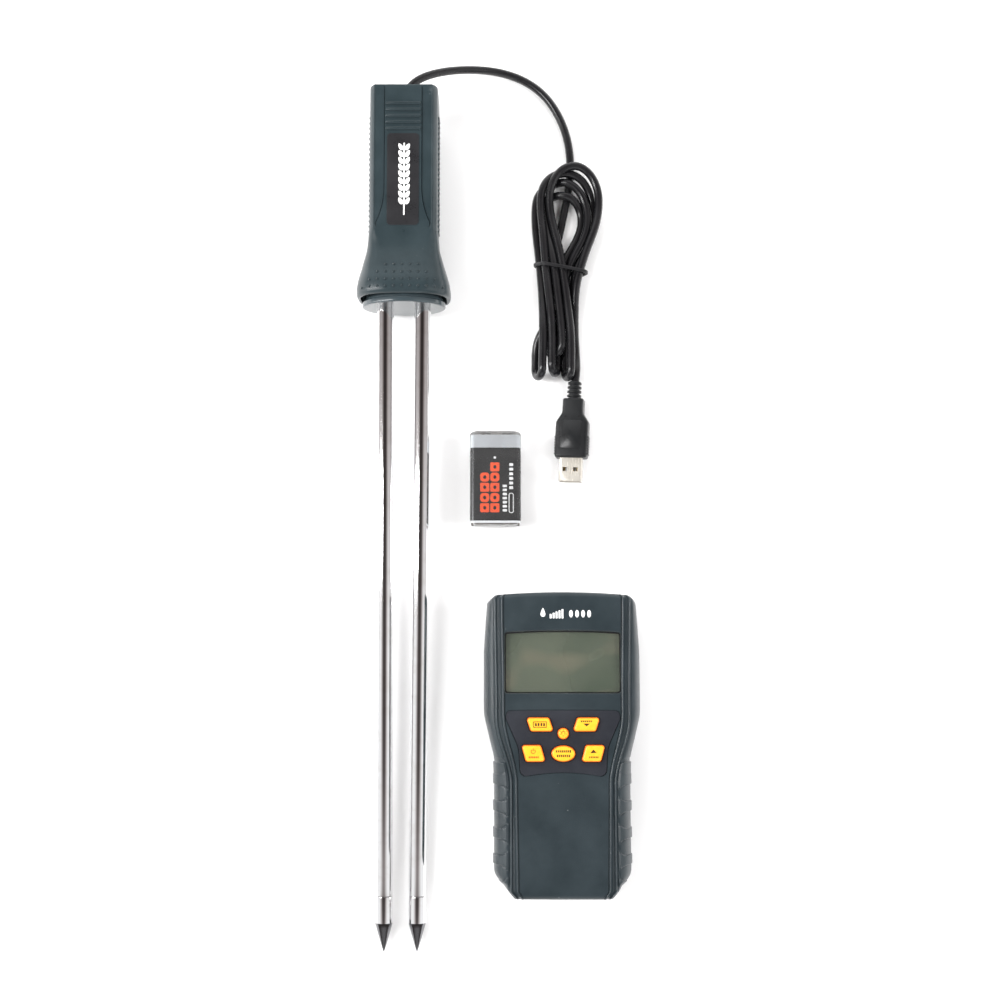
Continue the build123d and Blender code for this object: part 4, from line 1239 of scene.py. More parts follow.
@dataclass
class Probe:
    """The two-rod probe and its handle, lying on its bell and the rods' shoulders."""

    origin: Point = (-48.0, -221.5436, 3.712)
    pitch: float = math.atan2(15.6, 319.5)
    rod_radius: float = 4.4
    rod_top: float = 346.5
    tip_length: float = 27.4
    cone: float = 14.0
    top: float = 442.0
    rim: float = 331.0
    sections: tuple[tuple[float, ...], ...] = (
        (331.0, 23.8, 19.6, 16.0), (333.5, 24.25, 20.0, 16.0), (338.0, 23.9, 19.7, 15.0),
        (346.0, 21.6, 17.4, 11.5), (356.0, 18.8, 15.1, 7.5), (366.0, 17.75, 14.3, 5.2), (374.0, 17.7, 14.2, 5.0),
        (442.0, 17.7, 14.2, 5.0),
    )
    panel_half: float = 9.5
    panel_face: float = 14.2
    strip_depth: float = 0.7
    label_middle: float = 391.6
    stud_rows: tuple[tuple[float, int], ...] = ((346.3, 5), (342.2, 7), (338.2, 9), (334.6, 11))

    def laid(self, mesh: Mesh) -> Mesh:
        """A mesh written in the probe's directions, laid in its place."""
        c, s = math.cos(self.pitch), math.sin(self.pitch)
        x0, y0, z0 = self.origin
        return moved(mesh, lambda p: (x0 + p[0], y0 + p[1] * c - p[2] * s, z0 + p[1] * s + p[2] * c))

    def rod_x(self, side: Side, station: float) -> float:
        """Where a rod's axis is across the probe at a station."""
        return side.value * (8.3 + 1.35 * station / self.rim)

    def round_rod(self, side: Side, profile: Sequence[Flat]) -> Mesh:
        """A turned shape on a rod's axis."""
        shape = turned(profile, 64)
        return self.laid(moved(shape, lambda p: (p[0] + self.rod_x(side, p[1]), p[1], p[2])))

    def rods(self) -> None:
        """Makes the two polished rods and their screwed-in points."""
        r, seam = self.rod_radius, self.tip_length
        for side in Side:
            name = side.name.lower()
            bar = ((r - 0.9, seam + 0.01), (r - 0.22, seam + 0.01), (r - 0.05, seam + 0.12), (r, seam + 0.35),
                   (r, 120.0), (r, 220.0), (r, 320.0), (r, self.rod_top))
            piece = made(f"polished_rod_{name}", self.round_rod(side, bar), Dress.CHROME)
            settle(piece, "probe", (f"rod_{name}",))
            slope = (r - 0.35) / self.cone
            ground = [(0.05, 0.02), (0.2, 0.06), (0.33, 0.25)]
            ground += [(0.35 + slope * y, y) for y in (2.0, 4.0, 6.0, 8.0, 10.0, 12.0, self.cone - 0.6)]
            ground += [(r - 0.08, self.cone - 0.1), (r, self.cone + 0.3)]
            # the points' dark steel colour is a painted reflection
            piece = made(f"steel_point_{name}", self.round_rod(side, ground), Dress.POINT_STEEL_DARK_REFLECTION, 50.0)
            settle(piece, "probe", (f"tip_{name}",))
            collar = ((r, self.cone + 0.3), (r, seam - 0.35), (r - 0.05, seam - 0.12), (r - 0.22, seam - 0.01),
                      (r - 0.9, seam - 0.01))
            piece = made(f"point_collar_{name}", self.round_rod(side, collar), Dress.CHROME)
            settle(piece, "probe")

    def base(self) -> None:
        """Makes the polished oval base that carries the rods."""
        profile = (
            (327.0, 1.5), (327.02, 0.75), (327.12, 0.32), (327.35, 0.08), (327.7, 0.0), (329.2, 0.0),
            (329.6, 0.08), (329.85, 0.32), (329.95, 0.75), (330.0, 1.4), (338.0, 1.5),
        )
        rings = [
            [((21.6 - inset) * math.sin(t), station, (18.0 - inset) * math.cos(t)) for t in turn_of(120)]
            for station, inset in profile
        ]
        piece = made("oval_base", self.laid(loft(rings)), Dress.BASE, 60.0)
        settle(piece, "probe", ("probe_base",))

    def panel_edge(self, station: float) -> float:
        """Half the width of the raised centre panel, which spreads to the corners at its foot."""
        share = min(1.0, max(0.0, (389.0 - station) / 22.0))
        return self.panel_half + 5.2 * share**2.3

    def recess(self, station: float) -> float:
        """How deep the strips beside the panel are."""
        return self.strip_depth * smooth(366.2, 367.6, station) * (1 - smooth(440.6, 441.0, station))

    def half_section(self, station: float, front: bool, inset: float) -> list[Flat]:
        """The right half of the handle's section, from the middle of the face to the side.

        Args:
            station: how far along the probe.
            front: the face with the panel, or the plain back.
            inset: how far the section is shrunk.

        Returns:
            Its points.
        """
        a, b, r = flowing(self.sections, station)
        a, b, r = a - inset, b - inset, max(1.0, r - inset)
        round_share = 1 - smooth(358.0, 370.0, station)
        chamfer = ((-3.3, 0.0), (-2.95, 0.10), (-2.6, 0.05), (-2.3, -0.35), (-1.6, -1.15), (-0.95, -2.1),
                   (-0.4, -3.2), (-0.1, -4.6), (0.0, -6.2))
        depth = self.recess(station) if front else 0.0
        edge = min(self.panel_edge(station), a - 3.3 - 0.5) if front else self.panel_half
        edge = max(3.0, edge - inset)
        flat = a - 3.3 * (1 - round_share) - r * round_share
        edge = min(edge, flat - 0.5)
        points = [(edge * k / 4, b) for k in range(4)]
        points += [
            (edge + dx, b - depth * share) for dx,
            share in ((-0.1, 0.0), (0.04, 0.5), (0.16, 1.55), (0.34, 1.0))
        ]
        points += [((edge + 0.34 + flat) / 2, b - depth)]
        for k, (dx, dw) in enumerate(chamfer):
            angle = math.pi / 2 * (1 - k / (len(chamfer) - 1))
            rx, rw = -r * (1 - math.cos(angle)), -r * (1 - math.sin(angle))
            x = dx + (rx - dx) * round_share
            w = dw + (rw - dw) * round_share
            points.append((a + x, b - depth * (1 - k / (len(chamfer) - 1)) ** 2 + w))
        low = points[-1][1]
        points += [(a, low * 0.55), (a, low * 0.2), (a, 0.32), (a - 0.22, 0.14), (a - 0.22, 0.0)]
        return points

    def section(self, station: float, inset: float = 0.0) -> list[Point]:
        """The whole of the handle's section at a station."""
        front = self.half_section(station, True, inset)
        back = self.half_section(station, False, inset)
        ring = [(x, w) for x, w in reversed(front)]
        ring += [(-x, w) for x, w in front[1:]]
        ring += [(-x, -w) for x, w in reversed(back[:-1])]
        ring += [(x, -w) for x, w in back[1:-1]]
        return [(x, station, w) for x, w in ring]

    def skin(self, x: float, station: float) -> float:
        """How far the front face stands out at a place on the bell or the panel."""
        a, b, r = flowing(self.sections, station)
        flat = a - r
        if abs(x) <= flat:
            return b
        return b - r + math.sqrt(max(0.0, r**2 - (abs(x) - flat) ** 2))

    def shell(self) -> None:
        """Makes the handle's moulded shell with its panel, strips, seam and bell."""
        foot = (
            (346.0, 2.3), (338.0, 2.2), (331.9, 1.9), (331.1, 1.5), (331.0, 0.9), (331.25, 0.4),
            (331.9, 0.08)
        )
        rings = [self.section(station, inset) for station, inset in foot]
        station = 332.6
        while station < 441.0:
            rings.append(self.section(station))
            station += 1.3 if station < 392 else 3.1
        brow = ((0.9, 0.0), (0.45, 0.1), (0.15, 0.32), (0.0, 0.8))
        rings += [self.section(self.top - down, inset) for down, inset in brow]
        piece = made("handle_moulding", self.laid(loft(rings)), Dress.HANDLE, 34.0)
        settle(piece, "probe", ("handle_front_shell", "handle_rear_shell"))

    def grips(self) -> None:
        """Makes the panel's cross ridges, the ridges down both sides and the bell's rows of studs."""
        steps = ((-0.5, 0.0), (0.02, 0.0), (0.3, 0.06), (0.62, 0.25), (0.74, 0.5))
        bar = slab(rounded_box(18.6, 1.75, 0.85, 5), [(self.panel_face + rise, inset) for rise, inset in steps])
        parts = [shifted(bar, 0.0, 431.7 - 3.32 * k) for k in range(5)]
        settle(made("panel_ridges", self.laid(joined(parts)), Dress.HANDLE, 60.0), "probe")
        parts = []
        steps = ((-0.4, 0.0), (0.05, 0.0), (0.35, 0.16), (0.6, 0.42), (0.68, 0.62))
        bar = rounded_box(1.9, 9.0, 0.9, 4)
        for side in Side:
            ridge = loft([[(side.value * (17.7 + out), u, v + 1.2) for u, v in shrunk(bar, inset)]
                          for out, inset in steps])
            parts += [shifted(ridge, 0.0, 427.0 - 2.75 * k) for k in range(23)]
        settle(made("side_ridges", self.laid(joined(parts)), Dress.HANDLE, 60.0), "probe")
        parts = []
        steps = ((-0.3, 0.0), (0.02, 0.0), (0.26, 0.1), (0.44, 0.28), (0.54, 0.52))
        stud = slab(rounded_box(1.5, 1.5, 0.74, 4), steps)
        for station, count in self.stud_rows:
            for k in range(count):
                x = (k - (count - 1) / 2) * 4.15
                slope = (self.skin(x + 0.2, station) - self.skin(x - 0.2, station)) / 0.4
                lean = (self.skin(x, station + 0.2) - self.skin(x, station - 0.2)) / 0.4
                up = Vector((-slope, -lean, 1.0)).normalized()
                middle = Vector((x, station, self.skin(x, station)))
                turn = up.to_track_quat("Z", "Y").to_matrix()
                parts.append(moved(stud, lambda p, t=turn, m=middle: tuple(t @ Vector(p) + m)))
        settle(made("bell_studs", self.laid(joined(parts)), Dress.HANDLE, 70.0), "probe")

    def label(self) -> None:
        """Makes the black label and its plain white grain mark."""
        face = self.panel_face
        levels = ((face - 0.1, 0.0), (face + 0.22, 0.0), (face + 0.32, 0.1))
        film = shifted(slab(rounded_box(16.4, 48.2, 2.0, 6), levels), 0.0, self.label_middle)
        settle(made("label_plate", self.laid(film), Dress.LABEL), "probe", ("handle_label",))
        low, high = face + 0.27, face + 0.37
        parts = [plate(rounded_box(0.7, 38.0, 0.3, 3, (0.6, self.label_middle)), low, high)]
        round_kernel = [-t for t in turn_of(20)]
        kernel = [(1.05 * math.sin(t) * (1.0 - 0.25 * math.cos(t)), 1.95 * math.cos(t)) for t in round_kernel]
        for k in range(9):
            for side in Side:
                lean = math.radians(-30 * side.value)
                c, s = math.cos(lean), math.sin(lean)
                x, y = 0.6 + side.value * 1.75, 380.0 + 3.55 * k
                parts.append(plate([(x + u * c - v * s, y + u * s + v * c) for u, v in kernel], low, high))
        settle(made("label_grain_mark", self.laid(joined(parts)), Dress.WHITE_INK), "probe")

    def build(self) -> None:
        """Builds the probe."""
        self.rods()
        self.base()
        self.shell()
        self.grips()
        self.label()


# ---------------------------------------------------------------- hand unit


class Outline(Enum):
    """The two shapes of key."""

    SLANTED = "slanted"
    OVAL = "oval"


@dataclass(frozen=True)
class Key:
    """One key: its shape, place from the unit's middle, size and slant."""

    name: str
    shape: Outline
    middle: Flat
    size: Flat
    slant: float = 0.0

    def outline(self, margin: float = 0.0) -> list[Flat]:
        """The key's outline from the unit's middle.

        Args:
            margin: how much larger than the key it is.

        Returns:
            Its points, anticlockwise.
        """
        w, h = self.size[0] / 2 + margin, self.size[1] / 2 + margin
        if self.shape is Outline.OVAL:
            points = [(w * math.cos(t), h * math.sin(t)) for t in turn_of(56)]
        else:
            lean = self.slant / 2
            corners = [(w - lean, h), (-w - lean, h), (-w + lean, -h), (w + lean, -h)]
            points = filleted(corners, [1.5 + margin] * 4)
        return [(x + self.middle[0], y + self.middle[1]) for x, y in points]


@dataclass
class HandUnit:
    """The hand unit: sculpted front case, display, keypad and their prints."""

    middle: Flat = (33.0, -117.8)
    half_length: float = 74.7
    split: float = 16.0
    face: float = 32.0
    key_top: float = 33.86
    ink: float = 0.06
    arch: float = 1.5
    side: tuple[tuple[float, float, float], ...] = (
        (37.6, 70.2, 3.0), (39.25, 46.0, 60.0), (39.25, 14.0, 26.0), (33.6, -9.0, 30.0), (33.6, -63.5, 7.0),
    )
    corner_top: Flat = (34.0, 73.2)
    corner_low: Flat = (24.6, -74.7)
    window_middle: float = 40.05
    window: Flat = (57.6, 30.9)
    grips: tuple[tuple[float, float], ...] = (
        (-11.0, 0.35), (-24.0, 1.0), (-37.0, 1.0), (-50.0, 1.0), (-62.5, 0.9)
    )
    keys: tuple[Key, ...] = (
        Key("key_hold", Outline.SLANTED, (-11.45, 9.4), (11.5, 7.0), 2.4),
        Key("key_select", Outline.SLANTED, (11.45, 9.4), (11.5, 7.0), -2.4),
        Key("key_lamp", Outline.OVAL, (0.0, 5.0), (5.6, 5.6)),
        Key("key_power", Outline.SLANTED, (-14.7, -4.6), (9.8, 8.3), 2.3),
        Key("key_peak", Outline.OVAL, (0.0, -4.7), (11.8, 8.0)),
        Key("key_menu", Outline.SLANTED, (14.7, -4.6), (9.8, 8.3), -2.3),
    )

    def laid(self, mesh: Mesh) -> Mesh:
        """A mesh written from the unit's middle, laid in its place."""
        return shifted(mesh, *self.middle)

    def side_line(self) -> list[Flat]:
        """The right side of the unit's outline, from its top corner down."""
        corners = [
            self.corner_top, *((x, y) for x, y, _ in self.side), self.corner_low, (-80.0, -74.7),
            (-80.0, 73.2)
        ]
        radii = [0.0, *(r for _, _, r in self.side), 0.0, 0.0, 0.0]
        return filleted(corners, radii, 4.0)[:-2]

    def half_width(self, line: Sequence[Flat], y: float) -> float:
        """Half the unit's width at a place along it."""
        if y >= line[0][1]:
            return line[0][0]
        for (xa, ya), (xb, yb) in zip(line, line[1:]):
            if yb <= y <= ya:
                return xa + (xb - xa) * (ya - y) / max(1e-6, ya - yb)
        return line[-1][0]

    def prism(self, line: Sequence[Flat], inset: float, low: float, high: float) -> Mesh:
        """An upright block on the unit's outline, drawn in by an inset."""
        steps = 60
        reach = self.half_length - inset
        right = [(self.half_width(line, -reach + 2 * reach * i / steps) - inset, -reach + 2 * reach * i / steps)
                 for i in range(steps + 1)]
        outline = right + [(-x, y) for x, y in reversed(right)]
        return loft([[(x, y, z) for x, y in outline] for z in (low, high)])

    def rails(self, y: float) -> Flat:
        """Where the two raised lines of the face are at a place along the unit."""
        spread = smooth(-20.0, 15.0, y)
        inner = 22.6 + 0.6 * smooth(-74.0, -20.0, y) + 6.3 * spread + 0.7 * smooth(15.0, 74.0, y)
        outer = 25.6 + 7.2 * smooth(-20.0, 13.0, y) + 0.8 * smooth(13.0, 74.0, y)
        return inner, outer

    def row(self, line: Sequence[Flat], y: float, fall: float) -> list[Point]:
        """One row of the face from its middle to the right side.

        Args:
            line: the side of the outline.
            y: the row's place at the middle.
            fall: how far the end's rounding has dropped it.

        Returns:
            Its points.
        """
        bend = smooth(48.0, self.half_length, y)
        width = self.half_width(line, y - self.arch * bend)
        inner, outer = self.rails(y)
        squeeze = min(1.0, (width - 1.4) / (outer + 0.8))
        inner, outer = inner * squeeze, outer * squeeze
        face = self.face
        shape = [(x * squeeze, face) for x in (0.0, 3.0, 6.0, 9.0, 12.0, 15.0, 18.0, 20.4)]
        shape += [(inner + dx, face + dz) for dx, dz in (
            (-1.1, 0.0), (-0.9, -0.4), (-0.68, -0.35), (-0.45, 0.3), (-0.1, 0.5), (0.35, 0.35), (0.8, -0.6),
            (1.1, -1.1))]
        shape += [(outer + dx, face + dz) for dx, dz in (
            (-0.95, -1.35), (-0.7, -1.2), (-0.45, -0.75), (-0.1, -0.6), (0.35, -0.85), (0.8, -1.8))]
        span, drop = width - outer - 0.8, 13.2
        for degrees in (5, 10, 14, 18, 22, 26, 30, 34, 38, 42, 46, 50, 55, 60, 66, 72, 78, 84, 90):
            c, s = math.cos(math.radians(degrees)), math.sin(math.radians(degrees))
            x, z = outer + 0.8 + span * s, 17.0 + drop * c
            up = Vector((s / max(0.5, span), c / drop)).normalized()
            lift = self.grip(x, y) * smooth(1.0, 9.0, degrees)
            shape.append((x + up.x * lift, z + up.y * lift))
        share = 1 - fall / (face - self.split)
        points = []
        for x, z in shape:
            high = self.split + (z - self.split) * share
            points.append((x, y - self.arch * bend * (x / 34.0) ** 2, high))
        return points

    def grip(self, x: float, y: float) -> float:
        """How far the side of the case stands out: bars between hollows, on its lower half."""
        lift = 0.95 * (1 - smooth(-9.5, -8.7, y)) * smooth(-69.0, -66.0, y)
        for middle, share in self.grips:
            away = math.hypot(max(0.0, 30.8 - x), y - middle)
            lift -= share * (
                0.55 * (1 - smooth(3.3, 3.7, away)) + 0.75 * math.exp(-(((away - 3.75) / 0.28) ** 2))
            )
        return max(lift, -0.6)

    def rows(self) -> list[Flat]:
        """Where the rows of the face are.

        Returns:
            Each row's place along the unit, and how far the end's rounding has dropped it.
        """
        end, radius = self.half_length, 2.6
        turn = [math.radians(a) for a in (90, 76, 62, 48, 34, 20, 8)]
        low = [(-end + radius * (1 - math.sin(a)), radius * (1 - math.cos(a))) for a in turn]
        high = [(-y, fall) for y, fall in reversed(low)]
        y, middle = -end + radius, []
        while y < end - radius:
            middle.append((y, 0.0))
            y += 0.3 if y < -6.0 else 1.1
        return low + middle + high

    def case(self) -> None:
        """Makes the front case: the sculpted face, hollow behind, with its openings."""
        line = self.side_line()
        tops = []
        for y, fall in self.rows():
            right = self.row(line, y, fall)
            tops.append([(-x, py, z) for x, py, z in reversed(right[1:])] + right)
        count = len(tops[0])
        points = [p for row in tops for p in row]
        under = len(points)
        points += [(x, y, self.split) for x, y, _ in points]
        faces = []
        for r in range(len(tops) - 1):
            for c in range(count - 1):
                a, b = r * count + c, (r + 1) * count + c
                faces += [(a, a + 1, b + 1, b), (under + a, under + b, under + b + 1, under + a + 1)]
            for c in (0, count - 1):
                a, b = r * count + c, (r + 1) * count + c
                faces.append((a, b, under + b, under + a))
        for r in (0, len(tops) - 1):
            for c in range(count - 1):
                a = r * count + c
                faces.append((a, a + 1, under + a + 1, under + a))
        piece = made("case_front_moulding", self.laid((points, faces)), Dress.CASE)
        tools = [self.prism(line, 2.4, 15.0, 23.0), self.prism(line, 6.8, 15.0, 29.5)]
        overlay = plate(self.overlay_outline(0.38), self.face - 0.75, self.face + 2)
        levels = ((26.0, 0.0), (self.face - 0.5, 0.0), (self.face, -0.35), (self.face + 2, -0.35))
        window = slab(self.window_outline(), levels)
        keys = joined([plate(key.outline(0.3), 27.0, self.face + 1.4) for key in self.keys])
        mouth = rounded_box(13.6, 6.3, 0.6)
        socket = loft([[(x, y, z + 25.25) for x, z in mouth] for y in (64.0, 80.0)])
        cut(piece, [self.laid(tool) for tool in (*tools, overlay, window, keys, socket)])
        settle(piece, "unit", ("front_case",))

    def overlay_outline(self, margin: float = 0.0) -> list[Flat]:
        """The keypad overlay's outline, with its top and bottom edges slightly arched.

        Args:
            margin: how much larger than the overlay it is.

        Returns:
            Its points, anticlockwise.
        """
        right = [(16.5, -15.3), (21.0, -15.9), (21.7, -2.0), (28.1, 12.2), (27.6, 16.0), (24.0, 16.1)]
        corners = right + [(-x, y) for x, y in reversed(right)]
        radii = [0.0, 3.0, 16.0, 1.6, 2.2, 0.0, 0.0, 2.2, 1.6, 16.0, 3.0, 0.0]
        points = filleted(corners, radii)
        low = [(x, -15.3 + 1.5 * (1 - (x / 16.5) ** 2)) for x in (-13.0, -9.0, -4.5, 0.0, 4.5, 9.0, 13.0)]
        top = [(x, 16.1 + 0.15 * (1 - (x / 24.0) ** 2)) for x in (18.0, 10.0, 0.0, -10.0, -18.0)]
        split = min(range(len(points)), key=lambda i: math.dist(points[i], (-24.0, 16.1)))
        return shrunk(points[:split] + top + points[split:] + low, -margin)

    def window_outline(self) -> list[Flat]:
        """The display window's outline, with its top edge slightly arched.

        Returns:
            Its points, anticlockwise.
        """
        w, h = self.window[0] / 2, self.window[1] / 2
        corners = [(w, -h), (w, h - 0.9), (-w, h - 0.9), (-w, -h)]
        points = filleted(corners, [1.4] * 4, 15.0)
        arch = [(x, h - 0.9 * (x / w) ** 2) for x in (22.0, 14.0, 6.0, 0.0, -6.0, -14.0, -22.0)]
        split = max(i for i, (x, y) in enumerate(points) if x > 0 and y > 0) + 1
        points = points[:split] + arch + points[split:]
        return [(x, y + self.window_middle) for x, y in points]

    def overlay(self) -> None:
        """Makes the keypad overlay, with an opening round each key."""
        levels = ((self.face - 0.73, 0.0), (self.face - 0.08, 0.0), (self.face, 0.1))
        piece = made("keypad_film", self.laid(slab(self.overlay_outline(), levels)), Dress.OVERLAY)
        holes = [plate(key.outline(0.28), 30.0, 34.0) for key in self.keys]
        cut(piece, [self.laid(joined(holes))])
        settle(piece, "unit", ("keypad_overlay",))

    def glass(self) -> None:
        """Makes the clear display window."""
        levels = ((28.3, 0.0), (30.85, 0.0), (31.0, 0.15))
        sheet = slab(shrunk(self.window_outline(), 0.1), levels)
        piece = made("clear_window", self.laid(sheet), Dress.WINDOW, 30.0)
        settle(piece, "unit", ("display_window",))

    def border(self) -> None:
        """Makes the black printed border that frames the display."""
        outer = shrunk(self.window_outline(), 0.15)
        inner = [(x * 0.982, self.window_middle - 0.05 + (y - self.window_middle) * 0.968) for x, y in outer]
        border = self.laid(band(outer, inner, 31.02, 31.05))
        settle(made("display_border", border, Dress.FRAME, 30.0), "unit")

    def key(self, key: Key) -> None:
        """Makes one key with its domed printed top.

        Args:
            key: the key.
        """
        levels = ((27.2, 0.0), (32.3, 0.0), (32.9, 0.06), (33.25, 0.18), (33.5, 0.36), (33.66, 0.58),
                  (33.77, 0.82), (33.84, 1.08), (33.87, 1.35))
        outline = key.outline()
        rings = [[(x, y, z) for x, y in shrunk(outline, inset)] for z, inset in levels]
        name = key.name + "_cap"
        piece = made(name, self.laid(loft(rings)), Dress.KEYS, 60.0)
        # the rim share lays painted shade: full on the key's sides, fading over the dome's shoulder, none on its
        # top
        rim = piece.data.attributes.new("rim", "FLOAT", "POINT")
        edge_shade_shares = [1.0 - smooth(0.2, 0.85, inset) for _, inset in levels]
        for i, item in enumerate(rim.data):
            item.value = edge_shade_shares[min(len(levels) - 1, i // len(outline))]
        settle(piece, f"{key.name}_body", (key.name,))

    def print_on(self, key: str, name: str, marks: Sequence[Mesh], finish: Finish) -> None:
        """Lays printed marks on a key.

        Args:
            key: the key's name.
            name: the print's name.
            marks: flat marks as slabs.
            finish: the ink.
        """
        settle(made(name, self.laid(joined(marks)), finish), f"{key}_body")

    def flat_mark(self, outline: Sequence[Flat], z: Optional[float] = None) -> Mesh:
        """A flat print of an outline, on a key unless a height is given."""
        z = self.key_top if z is None else z
        return plate(outline, z, z + self.ink)

    def mark(
        self, x: float, y: float, w: float, h: float, z: Optional[float] = None, lean: float = 0.0
    ) -> Mesh:
        """A flat printed bar.

        Args:
            x: its middle across the unit.
            y: its middle along the unit.
            w: its width.
            h: its height.
            z: the height that it is printed at, if not on a key.
            lean: how far it is turned, in degrees.

        Returns:
            The mesh.
        """
        c, s = math.cos(math.radians(lean)), math.sin(math.radians(lean))
        box = rounded_box(w, h, min(0.15, w / 2 - 0.01, h / 2 - 0.01), 2)
        return self.flat_mark([(x + u * c - v * s, y + u * s + v * c) for u, v in box], z)

    def ring_mark(self, x: float, y: float, r: float, thick: float, start: float) -> Mesh:
        """A flat printed ring with a gap.

        Args:
            x: its middle across the unit.
            y: its middle along the unit.
            r: its outer radius.
            thick: its width.
            start: where it begins, in degrees; it goes on for 280.

        Returns:
            The mesh.
        """
        steps = 28
        turns = [math.radians(start + 280 * i / steps) for i in range(steps + 1)]
        outer = [(x + r * math.cos(t), y + r * math.sin(t)) for t in turns]
        inner = [(x + (r - thick) * math.cos(t), y + (r - thick) * math.sin(t)) for t in reversed(turns)]
        return self.flat_mark(outer + inner)

    def prints(self) -> None:
        """Lays the keys' plain marks."""
        box = [self.mark(-11.45, 9.4 + dy, 6.6, 0.3) for dy in (-1.35, 1.35)]
        box += [self.mark(-11.45 + dx, 9.4, 0.3, 2.9) for dx in (-3.15, 3.15)]
        box += [self.mark(-11.45 + dx, 9.4, 0.85, 1.5) for dx in (-2.0, -0.7, 0.7, 2.0)]
        self.print_on("key_hold", "hold_mark", box, Dress.DARK_INK)
        tip = self.flat_mark([(9.9, 9.9), (11.45, 8.5), (13.0, 9.9)])
        arrow = [tip] + [self.mark(9.0 + 0.95 * k, 11.0, 0.6, 0.8) for k in range(6)]
        self.print_on("key_select", "select_mark", arrow, Dress.DARK_INK)
        lamp = [self.ring_mark(0.0, 5.3, 0.95, 0.26, -50), self.mark(0.0, 3.95, 0.9, 0.3)]
        for lean in (-20, 25, 90, 155, 200):
            x, y = 1.5 * math.cos(math.radians(lean)), 1.5 * math.sin(math.radians(lean))
            lamp.append(self.mark(x, 5.3 + y, 0.55, 0.16, lean=lean))
        self.print_on("key_lamp", "lamp_mark", lamp, Dress.DARK_INK)
        power = [self.ring_mark(-14.8, -3.6, 1.15, 0.3, 130), self.mark(-14.8, -2.75, 0.3, 1.3)]
        power += [self.mark(-16.7 + 0.85 * k, -6.4, 0.55, 0.9) for k in range(6)]
        self.print_on("key_power", "power_mark", power, Dress.RED_INK)
        peak = [self.mark(-3.4 + 0.97 * k, -3.55, 0.6, 1.15) for k in range(8)]
        peak += [self.mark(-2.9 + 0.97 * k, -5.75, 0.6, 1.15) for k in range(7)]
        self.print_on("key_peak", "peak_mark", peak, Dress.DARK_INK)
        menu_tip = self.flat_mark([(16.3, -4.3), (13.1, -4.3), (14.7, -2.7)])
        menu = [menu_tip] + [self.mark(12.85 + 0.8 * k, -6.4, 0.5, 0.9) for k in range(6)]
        self.print_on("key_menu", "menu_mark", menu, Dress.DARK_INK)
        z = self.face - 0.02
        drop = [(-9.6 + 0.95 * math.cos(t), 61.9 + 0.95 * math.sin(t) + (1.3 * max(0.0, math.sin(t)) ** 4))
                for t in turn_of(28)]
        row = [self.flat_mark(drop, z)]
        row += [self.mark(-6.6 + 1.15 * k, 61.2 + 0.22 * k, 0.7, 1.6 + 0.45 * k, z) for k in range(5)]
        for k in range(4):
            kernel = [(1.3 + 2.35 * k + 0.72 * math.cos(t), 62.1 + 1.35 * math.sin(t)) for t in turn_of(24)]
            row.append(self.flat_mark(kernel, z))
        wide = moved(joined(row), lambda p: (1.4 + (p[0] + 0.9) * 1.28, 63.9 + (p[1] - 62.2) * 1.35, p[2]))
        settle(made("face_mark_row", self.laid(wide), Dress.WHITE_INK), "unit")

    def build(self) -> None:
        """Builds the hand unit."""
        self.case()
        self.overlay()
        self.glass()
        self.border()
        for key in self.keys:
            self.key(key)
        self.prints()


# ---------------------------------------------------------------- battery


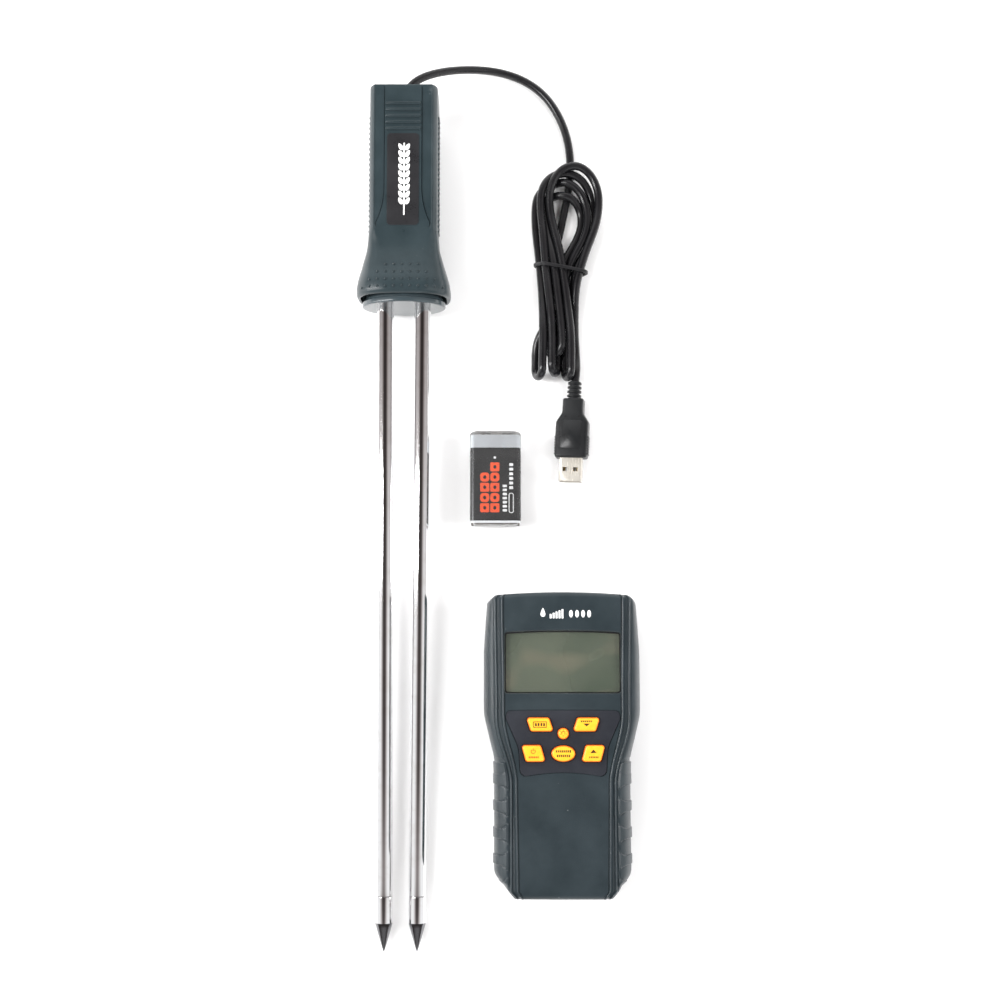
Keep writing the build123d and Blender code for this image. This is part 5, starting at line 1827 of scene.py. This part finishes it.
@dataclass
class Battery:
    """The block battery: bare can ends, printed sleeve and loose clear film."""

    middle: Flat = (-0.4, 17.2)
    can: Flat = (25.8, 16.9)
    corner: float = 2.3
    low: float = -24.0
    high: float = 21.8
    print_low: float = -22.9
    print_high: float = 15.0
    film_size: Point = (26.4, 48.5, 17.5)

    def laid(self, mesh: Mesh) -> Mesh:
        """A mesh written from the battery's middle, laid in its place."""
        return shifted(mesh, *self.middle, self.film_size[2] / 2)

    def sleeve(self, grow: float, low: float, high: float, ease: float) -> Mesh:
        """A thin sleeve round the can.

        Args:
            grow: how much wider than the can it is.
            low: where it begins along the battery.
            high: where it ends.
            ease: the rounding of its ends.

        Returns:
            The mesh.
        """
        outer = rounded_box(self.can[0] + grow, self.can[1] + grow, self.corner, 7)
        inner = rounded_box(self.can[0] - 0.5, self.can[1] - 0.5, self.corner - 0.2, 7)
        rows = ((inner, low), (shrunk(outer, ease), low), (outer, low + ease), (outer, high - ease),
                (shrunk(outer, ease), high), (inner, high))
        return hoop([[(x, y, z) for x, z in ring] for ring, y in rows])

    def build(self) -> None:
        """Builds the battery."""
        can = made("battery_can", self.laid(self.sleeve(0.0, self.low, self.high, 0.45)), Dress.CAN, 50.0)
        settle(can, "battery", ("battery_jacket",))
        printed = self.sleeve(0.12, self.print_low, self.print_high, 0.03)
        settle(made("battery_sleeve", self.laid(printed), Dress.BATTERY_INK), "battery")
        low, high = self.can[1] / 2 + 0.02, self.can[1] / 2 + 0.09
        blocks, bars = [], []
        columns = ((-5.5, (-16.3, -11.0, -5.7, -0.4)), (-0.3, (-16.3, -11.0, -5.7, -0.4, 4.9)))
        for x, rows in columns:
            for k, y in enumerate(rows):
                outer = rounded_box(4.7, 4.7, 1.5 if k % 2 else 0.7, 4, (x, y))
                blocks.append(band(outer, rounded_box(1.5, 1.9, 0.7, 4, (x, y)), low, high))
        small = [(4.8, -17.6 + 2.1 * k, 2.2, 1.3) for k in range(7)]
        small += [(8.1, -5.9 + 2.4 * k, 2.0, 1.5) for k in range(6)]
        small += [(-0.3, 9.8, 1.2, 1.2)]
        for x, y, w, h in small:
            bars.append(plate(rounded_box(w, h, 0.25, 2, (x, y)), low, high))
        middle = (8.1, -13.8)
        bars.append(
            band(rounded_box(2.6, 10.4, 1.0, 4, middle), rounded_box(1.7, 9.5, 0.6, 4, middle), low, high)
        )
        settle(made("sleeve_blocks", self.laid(joined(blocks)), Dress.ORANGE_INK), "battery")
        settle(made("sleeve_bars", self.laid(joined(bars)), Dress.WHITE_INK), "battery")
        self.film()

    def film(self) -> None:
        """Makes the loose clear film, gathered at both ends."""
        rng = random.Random(9)
        w, length, d = self.film_size
        half = length / 2
        rings = []
        steps = 80
        tufts = [(rng.uniform(0, 6.28), rng.uniform(0.6, 1.0)) for _ in range(7)]
        for i in range(steps + 1):
            y = -half + length * i / steps
            end = max(0.0, abs(y) - half + 2.2) / 2.2
            inset = 2.4 * end**2.2
            outline = rounded_box(w - 2 * inset, d - 2 * inset, 2.6 - inset * 0.4, 8)
            ring = []
            for k, (x, z) in enumerate(outline):
                angle = 2 * math.pi * k / len(outline)
                ripple = sum(
                    a * math.sin((3 + j * 2) * angle + p + y * 0.22 * (j - 3)) for j, (p, a) in enumerate(tufts)
                )
                away = 1.0 - (0.0035 + 0.010 * end) * (1 + ripple / 5) * (1 - 0.6 * smooth(-7.0, -8.4, z))
                ring.append((x * away, y, max(-d / 2 + 0.05, z * away)))
            rings.append(ring)
        piece = made("battery_clear_film", self.laid(loft(rings)), Dress.FILM, 70.0)
        settle(piece, "battery", ("battery_film",))


# ---------------------------------------------------------------- carried-over parts


def dress_frame(nodes: dict) -> None:
    """Puts the finishes on the parts that keep their own shapes.

    Args:
        nodes: the frame's parts by name.
    """
    finishes = {
        Dress.HANDLE: ("handle_end_plate",),
        Dress.BLACKENED: ("handle_screws", "board_screws", "case_screws"),
        Dress.VINYL: ("cord_bush", "cord_clamp", "battery_snap"),
        Dress.ZINC: ("rod_nuts",),
        Dress.GOLD: ("rod_lugs", "plug_contacts"),
        Dress.WIRE: ("probe_leads", "battery_leads"),
        Dress.TONGUE: ("plug_tongue",),
        Dress.CASE: ("rear_case", "battery_cover"),
        Dress.MAT: ("keypad_mat",),
        Dress.LCD: ("display_panel",),
        Dress.DIFFUSER: ("display_backlight",),
        Dress.STRIP: ("contact_strip",),
        Dress.FRAME: ("display_frame",),
        Dress.BOARD: ("circuit_board",),
        Dress.SOCKET: ("probe_socket",),
        Dress.FOAM: ("battery_pad",),
        Dress.FIBRE: ("battery_top", "battery_base", "battery_cells"),
        Dress.TERMINAL: ("battery_stud", "battery_crown"),
    }
    for finish, names in finishes.items():
        for name in names:
            part = nodes[name]
            part.data.materials.clear()
            part.data.materials.append(finish.material())
            log.info("%s is dressed in %s", name, finish.name)
    for name, width in (
        ("handle_end_plate", 0.35), ("rear_case", 0.5), ("battery_cover", 0.3), ("cord_bush", 0.3)
    ):
        part = nodes[name]
        weld = part.modifiers.new("welded", "WELD")
        weld.merge_threshold = 0.00001
        eased(part, width)


def main() -> None:
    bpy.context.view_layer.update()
    Studio().build()
    plug = Plug().build()
    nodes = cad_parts
    Lead().build([*plug, nodes["plug_tongue"], nodes["plug_contacts"]])
    Probe().build()
    HandUnit().build()
    Battery().build()
    dress_frame(nodes)
    bpy.context.view_layer.update()
    log.info("sizes are written")


if __name__ == "__main__":
    main()
